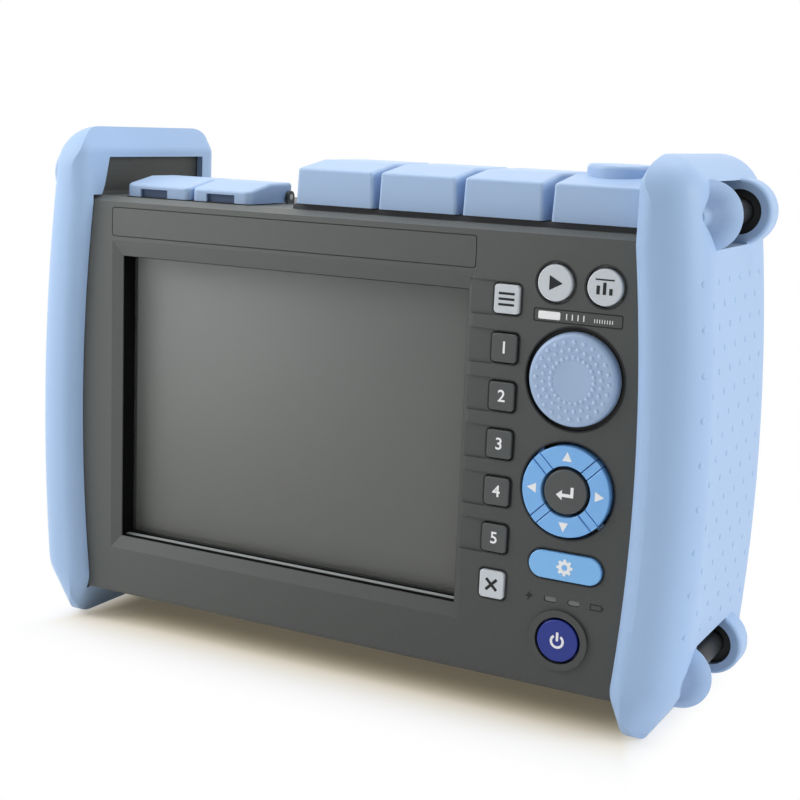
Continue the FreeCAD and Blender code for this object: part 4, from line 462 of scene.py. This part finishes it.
def joined(pieces):
    """Several meshes as one."""
    bpy.ops.object.select_all(action="DESELECT")
    for piece in pieces:
        piece.select_set(True)
    bpy.context.view_layer.objects.active = pieces[0]
    if len(pieces) > 1:
        bpy.ops.object.join()
    return pieces[0]


def arc(centre, radius, begin, end, steps):
    """Corners along an arc, with angles in degrees."""
    angles = [math.radians(begin + (end - begin) * step / steps) for step in range(steps + 1)]
    return [(centre[0] + radius * math.cos(a), centre[1] + radius * math.sin(a)) for a in angles]


def bar(left, right, low, high):
    """The corners of a rectangle."""
    return [(left, low), (right, low), (right, high), (left, high)]


def round_bar(left, right, low, high, radius, steps=5):
    """The corners of a rectangle with rounded corners."""
    spots = ((right - radius, low + radius, -90), (right - radius, high - radius, 0),
             (left + radius, high - radius, 90), (left + radius, low + radius, 180))
    return [corner for x, z, begin in spots for corner in arc((x, z), radius, begin, begin + 90, steps)]


def middle(node):
    """Centre of a node across and in height, in millimetres, and the Y of its front in metres."""
    low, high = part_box(node)
    return (low.x + high.x) / 2 / MM, (low.z + high.z) / 2 / MM, low.y


def shifted(corners, x, z):
    """Corners moved to a centre."""
    return [(x + dx, z + dz) for dx, dz in corners]


def mark(name, node, shapes, ink):
    """A printed mark of one or several shapes about the centre of a key."""
    x, z, face = middle(node)
    made = []
    for shape in shapes:
        if isinstance(shape[0], list):
            made.append(band(shifted(shape[0], x, z), shifted(shape[1], x, z), face))
        else:
            made.append(patch(shifted(shape, x, z), face))
    return settle(joined(made), name, node, ink)


# ---------------------------------------------------------------------------------------------------
# Marks on the keys
# ---------------------------------------------------------------------------------------------------
DIGIT_TALL = 4.6
DIGIT_BOLD = 0.06


def digit(name, node, figure):
    """A plain number on a key."""
    x, z, face = middle(node)
    place = (x * MM, face + MARK_ROOT * MM - MARK_HIGH * MM, z * MM)
    text = start(bpy.ops.object.text_add, location=place, rotation=(math.pi / 2, 0, 0))
    text.data.body = figure
    text.data.size = DIGIT_TALL * MM
    text.data.align_x = "CENTER"
    text.data.align_y = "CENTER"
    text.data.extrude = MARK_ROOT * MM
    text.data.offset = DIGIT_BOLD * MM
    bpy.ops.object.convert(target="MESH")
    return settle(bpy.context.object, name, node, white_ink)


for number, key in enumerate(FUNCTION_KEYS, start=1):
    digit(f"number_{number}", key, str(number))

lines = [bar(-2.3, 2.3, row - 0.32, row + 0.32) for row in (-1.5, 0, 1.5)]
mark("menu_lines", "menu_key", lines, black_ink)
limb, stroke = 1.6, 0.42
side = stroke * 0.7
arm = [(0, stroke * 1.41), (limb - side, limb + side), (limb + side, limb - side)]
cross = [(x * turn[0] - z * turn[1], x * turn[1] + z * turn[0])
         for turn in ((1, 0), (0, -1), (-1, 0), (0, 1)) for x, z in arm]
mark("escape_cross", "escape_key", [cross], black_ink)
mark("live_triangle", "live_key", [[(-1.5, -2.0), (2.2, 0), (-1.5, 2.0)]], black_ink)
columns = [bar(-2.2, -1.3, -1.9, 0.4), bar(-0.45, 0.45, -1.9, 1.3), bar(1.3, 2.2, -1.9, -0.2)]
mark("average_bars", "average_key", columns + [bar(-2.6, 2.6, 1.8, 2.2)], black_ink)
gear = []
for tooth in range(8):
    for offset, reach in ((-14, 1.75), (-9, 2.35), (9, 2.35), (14, 1.75)):
        angle = math.radians(tooth * 45 + offset)
        gear.append((reach * math.cos(angle), reach * math.sin(angle)))
hole = [(0.85 * math.cos(math.atan2(z, x)), 0.85 * math.sin(math.atan2(z, x))) for x, z in gear]
mark("setup_gear", "setup_key", [[gear, hole]], white_ink)
open_ring = arc((0, -0.1), 2.05, 125, 415, 40) + arc((0, -0.1), 1.35, 415, 125, 40)
mark("power_sign", "power_key", [open_ring, round_bar(-0.36, 0.36, -0.1, 2.5, 0.3)], white_ink)
bent_arrow = [(-2.6, -0.9), (-0.9, 0.5), (-0.9, -0.45), (1.5, -0.45), (1.5, 1.5), (2.35, 1.5),
              (2.35, -1.35), (-0.9, -1.35), (-0.9, -2.3)]
mark("return_arrow", "enter_key", [bent_arrow], white_ink)

ring_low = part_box("left_key")[0]
ring_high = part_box("right_key")[1]
ring_x = (ring_low.x + ring_high.x) / 2 / MM
ring_z = (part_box("down_key")[0].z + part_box("up_key")[1].z) / 2 / MM
tip = [(11.0, 0), (8.4, 1.35), (8.4, -1.35)]
for name, cos, sin in (("right", 1, 0), ("up", 0, 1), ("left", -1, 0), ("down", 0, -1)):
    corners = [(x * cos - z * sin, x * sin + z * cos) for x, z in tip]
    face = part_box(name + "_key")[0].y
    settle(patch(shifted(corners, ring_x, ring_z), face), name + "_triangle", name + "_key", white_ink)


# ---------------------------------------------------------------------------------------------------
# Marks over the knob
# ---------------------------------------------------------------------------------------------------
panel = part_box("name_plate")[0].y
knob_x, knob_z, _ = middle("knob")
frame_left, frame_right = knob_x - 12.7, knob_x + 12.3
frame_low, frame_high = knob_z + 14.5, knob_z + 18.2
row = (frame_low + frame_high) / 2
FRAME_LINE = 0.35


def tick(place, half, low, high):
    """An upright line at a distance from the left side of the frame."""
    return bar(frame_left + place - half, frame_left + place + half, row + low, row + high)


outer = round_bar(frame_left, frame_right, frame_low, frame_high, 0.6)
inner = round_bar(frame_left + FRAME_LINE, frame_right - FRAME_LINE,
                  frame_low + FRAME_LINE, frame_high - FRAME_LINE, 0.4)
settle(band(outer, inner, panel), "knob_frame", "case", black_ink)
field = round_bar(frame_left + 1.4, frame_left + 7.6, row - 1.05, row + 1.05, 0.4)
settle(patch(field, panel), "push_field", "case", white_ink)
ticks = [tick(9.4 + 1.6 * step, 0.14, -0.8, 0.8) for step in range(4)]
ticks += [tick(17.2 + 0.7 * step, 0.1, -0.8, 0.2) for step in range(8)]
settle(joined([patch(corners, panel) for corners in ticks]), "coarse_and_fine_marks", "case", white_ink)


# ---------------------------------------------------------------------------------------------------
# Black lines of painted shade round the openings of the panel, and the marks beside the lamps
# ---------------------------------------------------------------------------------------------------
# width of a black line of painted shade round an opening, flange of a key round its opening, corner of a
# column key's opening, radius of the arrow keys' opening, and radius and depth of the knob's well, in
# millimetres
GAP_SHADE_WIDE = 0.35
KEY_FLANGE = 0.8
KEY_CORNER = 1.4
ARROW_OPENING = 13.36
KNOB_WELL, KNOB_WELL_DEEP = 13.9, 1.8


def opening_of(node):
    """Half sizes of a key's opening in the panel, and its centre, in millimetres."""
    low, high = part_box(node)
    return (high.x - low.x) / 2 / MM - KEY_FLANGE, (high.z - low.z) / 2 / MM - KEY_FLANGE, middle(node)[:2]


def rim(x, z, wide, tall, corner, steps=5):
    """A black line of painted shade round an opening with rounded corners, given by its half sizes."""
    outer = round_bar(x - wide - GAP_SHADE_WIDE, x + wide + GAP_SHADE_WIDE, z - tall - GAP_SHADE_WIDE, z + tall + GAP_SHADE_WIDE,
                      corner + GAP_SHADE_WIDE, steps)
    inner = round_bar(x - wide, x + wide, z - tall, z + tall, corner, steps)
    return band(outer, inner, panel)


# black lines of painted shade in the gaps round the key openings
gap_lines = []
for name in ["menu_key", "escape_key"] + FUNCTION_KEYS:
    wide, tall, (x, z) = opening_of(name)
    gap_lines.append(rim(x, z, wide, tall, KEY_CORNER))
settle(joined(gap_lines), "column_key_gap_shades", "case", gap_shade_black)
for name in ("live_key", "average_key"):
    wide, _, (x, z) = opening_of(name)
    settle(hoop(x, z, wide, wide + GAP_SHADE_WIDE, panel), name + "_seal", "case", gap_shade_black)
wide, tall, (x, z) = opening_of("setup_key")
settle(rim(x, z, wide, tall, tall - 0.01, 12), "setup_key_seal", "case", gap_shade_black)
arrow_gap_shade = hoop(ring_x, ring_z, ARROW_OPENING, ARROW_OPENING + GAP_SHADE_WIDE, panel, steps=ROUND_STEPS)
settle(arrow_gap_shade, "arrow_key_seal", "case", gap_shade_black)
# black rings on the rim, wall and floor of the knob's well: painted shade in the well
well_rim_shade = hoop(knob_x, knob_z, KNOB_WELL, KNOB_WELL + GAP_SHADE_WIDE, panel, steps=ROUND_STEPS)
well_wall = hoop(knob_x, knob_z, KNOB_WELL - 0.12, KNOB_WELL - 0.02, panel,
                 (KNOB_WELL_DEEP - 0.2) * MM, ROUND_STEPS)
well_floor = hoop(knob_x, knob_z, 11.0, KNOB_WELL - 0.15, panel + (KNOB_WELL_DEEP - 0.15) * MM,
                  0.05 * MM, ROUND_STEPS)
settle(joined([well_rim_shade, well_wall, well_floor]), "knob_well_seal", "case", gap_shade_black)

lamp_z = middle("indicator_lenses")[1]
lamp_left, lamp_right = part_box("indicator_lenses")[0].x / MM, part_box("indicator_lenses")[1].x / MM
bolt = [(0.5, 1.5), (-1.2, -0.3), (-0.2, -0.3), (-0.6, -1.6), (1.2, 0.4), (0.2, 0.4)]
settle(patch(shifted(bolt, lamp_left - 4.2, lamp_z), panel), "charge_sign", "case", faint_ink)
cell_x = lamp_right + 4.6
cell = band(shifted(bar(-1.9, 1.5, -0.9, 0.9), cell_x, lamp_z),
            shifted(bar(-1.6, 1.2, -0.6, 0.6), cell_x, lamp_z), panel)
tab = patch(shifted(bar(1.6, 2.0, -0.4, 0.4), cell_x, lamp_z), panel)
settle(joined([cell, tab]), "battery_sign", "case", faint_ink)


# ---------------------------------------------------------------------------------------------------
# Screen border, black lining of the opening, and a painted highlight along the bottom of the opening
# ---------------------------------------------------------------------------------------------------
glass_low, glass_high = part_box("display_window")
sheet_low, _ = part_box("display_panel")
border_face = (glass_high.y + sheet_low.y) / 2
border = (glass_low.x / MM + 0.1, glass_high.x / MM - 0.1, glass_low.z / MM + 0.1, glass_high.z / MM - 0.1)
opening = (border[0] + 1.9, border[1] - 2.2, border[2] + 2.1, border[3] - 2.2)
settle(band(bar(*border), bar(*opening), border_face), "screen_border", "case", black_ink)

# in millimetres: the opening of the bezel inside the window's edge, the start of the lining behind the
# panel, its end before the glass, and the near and far side of its sheet from the sides of the opening
WINDOW_RIM = 1.8
LINING_START = 1.8
GLASS_GAP = 0.2
near, far = 0.05, 0.2
left, right = glass_low.x / MM + WINDOW_RIM, glass_high.x / MM - WINDOW_RIM
low, high = glass_low.z / MM + WINDOW_RIM, glass_high.z / MM - WINDOW_RIM
lining_front = panel + LINING_START * MM
lining_deep = glass_low.y - lining_front - GLASS_GAP * MM
walls = (bar(left + near, left + far, low + far, high - far),
         bar(right - far, right - near, low + far, high - far),
         bar(left + near, right - near, low + near, low + far),
         bar(left + near, right - near, high - far, high - near))
# black sheets on the four walls of the opening
lining = joined([slab(wall, lining_front, lining_deep) for wall in walls])
settle(lining, "screen_lining", "case", lining_paint)
# a light strip along the bottom wall of the opening: a painted highlight
strip = slab(bar(left + 0.4, right - 0.4, low + 0.18, low + 0.42), lining_front + 1.6 * MM, 1.6 * MM)
settle(strip, "painted_highlight_strip", "case", highlight_paint)


# ---------------------------------------------------------------------------------------------------
# Painted shade in the finger notches of the low covers, under all covers and in the sinks of the strap bars
# ---------------------------------------------------------------------------------------------------
# a notch, in millimetres: where it starts from the left of its cover, its width, height and depth
NOTCH_IN, NOTCH_WIDE, NOTCH_HIGH, NOTCH_DEEP = 5.4, 10.0, 2.4, 1.0
# a darker blue plate inside each finger notch: painted shade in the notch
for name in LOW_COVERS:
    low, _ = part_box(name)
    left, foot = low.x / MM + NOTCH_IN, low.z / MM
    plate = bar(left + 0.05, left + NOTCH_WIDE - 0.05, foot + 0.05, foot + NOTCH_HIGH - 0.05)
    settle(slab(plate, low.y + NOTCH_DEEP * MM - 0.16 * MM, 0.06 * MM), name + "_notch", name, notch_shade_paint)

# a black strip under each cover, where it meets the panel: painted shade in the joint
for name in COVERS:
    low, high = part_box(name)
    foot = low.z / MM
    strip = bar(low.x / MM + 0.3, high.x / MM - 0.3, foot - 0.26, foot - 0.04)
    settle(slab(strip, low.y - 0.2 * MM, 0.9 * MM), name + "_foot_seal", "case", gap_shade_black)

# a strap bar, in millimetres: its radius, the gap between its ears behind the panel, and the sink of an ear
EAR_GAP = (11.4, 40.0)
SINK_DEEP, SINK_RADIUS, BAR_RADIUS = 2.2, 6.2, 3.6
# thickness of a black disc of painted shade in a sink
SINK_DISC_THICK = 0.4
# black discs in the sinks at both ends of each strap bar: painted shade in the recesses
for name in STRAP_BARS:
    x, z, _ = middle(name)
    sink_discs = []
    for depth in (EAR_GAP[0] - SINK_DEEP + 0.05, EAR_GAP[1] + SINK_DEEP - SINK_DISC_THICK - 0.05):
        face = panel + (depth - MARK_ROOT) * MM
        sink_discs.append(hoop(x, z, BAR_RADIUS + 0.15, SINK_RADIUS - 0.1, face, SINK_DISC_THICK * MM, 32))
    settle(joined(sink_discs), name + "_sink_shades", "case", gap_shade_black)


# ---------------------------------------------------------------------------------------------------
# Studs on the knob and on the bumpers
# ---------------------------------------------------------------------------------------------------
def stud(radius, high):
    """A low dome with its foot on the XY plane."""
    piece = start(bpy.ops.mesh.primitive_uv_sphere_add, segments=10, ring_count=8, radius=radius * MM)
    bpy.ops.object.mode_set(mode="EDIT")
    bpy.ops.mesh.select_all(action="SELECT")
    bpy.ops.transform.resize(value=(1, 1, high / radius))
    bpy.ops.mesh.bisect(plane_co=(0, 0, 0), plane_no=(0, 0, -1), clear_outer=True, use_fill=True)
    bpy.ops.mesh.select_all(action="SELECT")
    bpy.ops.mesh.normals_make_consistent(inside=False)
    bpy.ops.object.mode_set(mode="OBJECT")
    bpy.ops.object.shade_smooth_by_angle(angle=math.radians(60))
    return piece


def studded(name, pattern, spots, body, finish):
    """Copies of one stud at places (position, outward direction), as one piece."""
    copies = []
    for position, outward in spots:
        copy = pattern.copy()
        copy.data = pattern.data.copy()
        bpy.context.scene.collection.objects.link(copy)
        turn = outward.to_track_quat("Z", "Y").to_matrix().to_4x4()
        copy.data.transform(Matrix.Translation(position) @ turn)
        copies.append(copy)
    return settle(joined(copies), name, body, finish)


# rings of studs on the knob: radius in millimetres and turn in degrees, and how many studs are in each
KNOB_RINGS = ((6.1, 0.0), (8.2, 7.5), (10.3, 0.0))
RING_STUDS = 24
knob_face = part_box("knob")[0].y + 0.02 * MM
knob_spots = []
for radius, offset in KNOB_RINGS:
    for step in range(RING_STUDS):
        angle = math.radians(360 / RING_STUDS * step + offset)
        place = Vector(((knob_x + radius * math.cos(angle)) * MM, knob_face,
                        (knob_z + radius * math.sin(angle)) * MM))
        knob_spots.append((place, Vector((0, -1, 0))))
pattern = stud(0.6, 0.4)
studded("knob_studs", pattern, knob_spots, "knob", knob_stud_paint)
bpy.data.objects.remove(pattern)

# studs on the side of a bumper, in millimetres: how many rows and columns, their pitch, the height of the
# first row, the first column behind the bumper's front, and the bare strip at its rear; the skin has to face
# the side squarely, and is looked for from beside the bumper
STUD_ROWS, STUD_COLUMNS = 17, 6
ROW_PITCH, COLUMN_PITCH = 5.8, 10.1
FIRST_ROW, FIRST_COLUMN = 31.5, 7.0
BARE_REAR = 11.0
SQUARELY = 0.9
BESIDE = 200
pattern = stud(0.95, 0.32)
for side, name in ((1, "right_bumper"), (-1, "left_bumper")):
    low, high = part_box(name)
    spots = []
    for row in range(STUD_ROWS):
        height = (FIRST_ROW + ROW_PITCH * row) * MM
        shift = COLUMN_PITCH / 2 if row % 2 else 0
        for column in range(STUD_COLUMNS):
            depth = low.y + (FIRST_COLUMN + COLUMN_PITCH * column + shift) * MM
            if depth > high.y - BARE_REAR * MM:
                continue
            begin = Vector((side * BESIDE * MM, depth, height))
            found, point, normal, _ = nodes[name].ray_cast(begin, Vector((-side, 0, 0)))
            if found and side * normal.x > SQUARELY:
                spots.append((point - normal * 0.03 * MM, normal))
    studded(name + "_studs", pattern, spots, "case", finishes["bumper"])
bpy.data.objects.remove(pattern)


# ---------------------------------------------------------------------------------------------------
# Floor, light and camera
# ---------------------------------------------------------------------------------------------------
# half width and half depth of the tester's shadow on the floor, in metres
FOOTPRINT = (0.094, 0.036)


def paper_floor():
    """Paper floor that glows plain white away from the tester; near it, a warm colour and a faint warm glow
    are painted for the colour of its shadow.
    """
    floor = start(bpy.ops.mesh.primitive_plane_add, size=12, location=(0, 0, -0.0002))
    floor.name = "paper_floor"
    paper = Finish("floor_paper", Roughness=0.6, Specular_IOR_Level=0.3)
    outside = (abs(paper.along("X")) - FOOTPRINT[0]) * 2.5
    outside = outside.most(abs(paper.along("Y")) - FOOTPRINT[1])
    white = paper.mixed(paper.noise(30), tone(248, 248, 247), tone(252, 252, 252))
    away = outside.ramp(-0.02, 0.012)
    # painted shade colour: warm near the tester, plain paper away from it
    paper.give(Base_Color=paper.mixed(away, tone(250, 236, 205), white))
    # painted light: a faint warm glow near the tester, turning to the plain white glow away from it
    painted_glow_colour = paper.mixed(away, (1.0, 0.86, 0.62, 1), (1, 1, 1, 1))
    glow = paper.node("Emission", {}, {"Color": painted_glow_colour, "Strength": 1.0})
    seen = paper.node("LightPath", {}, {}, "Is Camera Ray")
    seen = seen.most(paper.node("LightPath", {}, {}, "Is Glossy Ray"))
    seen = seen.most(paper.node("LightPath", {}, {}, "Is Transmission Ray"))
    far = (outside.ramp(-0.024, 0.03) * 0.91 + 0.09) * seen
    blend = paper.tree.nodes.new("ShaderNodeMixShader")
    for index, flow in enumerate((far, Flow(paper, paper.surface.outputs[0]), glow)):
        paper.tree.links.new(flow.socket, blend.inputs[index])
    paper.tree.links.new(blend.outputs[0], paper.end.inputs[0])
    floor.data.materials.append(paper.material)


def softbox(name, place, target, size, power):
    """A rectangular studio light that points at a target."""
    data = bpy.data.lights.new(name, "AREA")
    data.shape = "RECTANGLE"
    data.size, data.size_y = size
    data.energy = power
    lamp = bpy.data.objects.new(name, data)
    bpy.context.scene.collection.objects.link(lamp)
    lamp.location = place
    lamp.rotation_euler = (Vector(target) - Vector(place)).to_track_quat("-Z", "Y").to_euler()


def white_room(strength):
    """Even light all round, and plain white where the camera or a reflection looks past the floor."""
    world = bpy.data.worlds.new("white_room")
    bpy.context.scene.world = world
    world.use_nodes = True
    tree = world.node_tree
    tree.nodes.clear()
    end = tree.nodes.new("ShaderNodeOutputWorld")
    seen, even = tree.nodes.new("ShaderNodeBackground"), tree.nodes.new("ShaderNodeBackground")
    seen.inputs[0].default_value = (1, 1, 1, 1)
    even.inputs[0].default_value = (0.98, 0.99, 1.0, 1)
    even.inputs[1].default_value = strength
    rays = tree.nodes.new("ShaderNodeLightPath")
    either, any_of = tree.nodes.new("ShaderNodeMath"), tree.nodes.new("ShaderNodeMath")
    either.operation = any_of.operation = "MAXIMUM"
    tree.links.new(rays.outputs["Is Camera Ray"], either.inputs[0])
    tree.links.new(rays.outputs["Is Glossy Ray"], either.inputs[1])
    tree.links.new(either.outputs[0], any_of.inputs[0])
    tree.links.new(rays.outputs["Is Transmission Ray"], any_of.inputs[1])
    blend = tree.nodes.new("ShaderNodeMixShader")
    tree.links.new(any_of.outputs[0], blend.inputs[0])
    tree.links.new(even.outputs[0], blend.inputs[1])
    tree.links.new(seen.outputs[0], blend.inputs[2])
    tree.links.new(blend.outputs[0], end.inputs[0])


paper_floor()
white_room(0.22)
softbox("left_box", (-0.52, -0.29, 0.40), (-0.02, 0, 0.08), (0.34, 0.38), 2.4)
softbox("right_box", (1.25, 0.05, 0.55), (0.05, 0, 0.07), (0.6, 0.8), 8.4)
softbox("top_box", (-0.1, 0.15, 1.15), (0, 0, 0.1), (1.3, 0.9), 9)

# the camera: where it stands, which way its right and its upper side point, and its focal length
CAMERA_PLACE = Vector((0.20921, -0.39684, 0.16178))
CAMERA_RIGHT = Vector((0.88528, 0.46335, 0.04055))
CAMERA_UP = Vector((-0.12062, 0.14451, 0.98216))
FOCAL_LENGTH = 67.28
lens = bpy.data.cameras.new("camera")
lens.lens = FOCAL_LENGTH
lens.sensor_width = 36.0
lens.clip_start, lens.clip_end = 0.02, 30.0
camera = bpy.data.objects.new("camera", lens)
bpy.context.scene.collection.objects.link(camera)
axes = Matrix((CAMERA_RIGHT, CAMERA_UP, CAMERA_RIGHT.cross(CAMERA_UP))).transposed()
camera.matrix_world = Matrix.Translation(CAMERA_PLACE) @ axes.to_4x4()
bpy.context.scene.camera = camera

bpy.context.scene.view_settings.view_transform = "Standard"
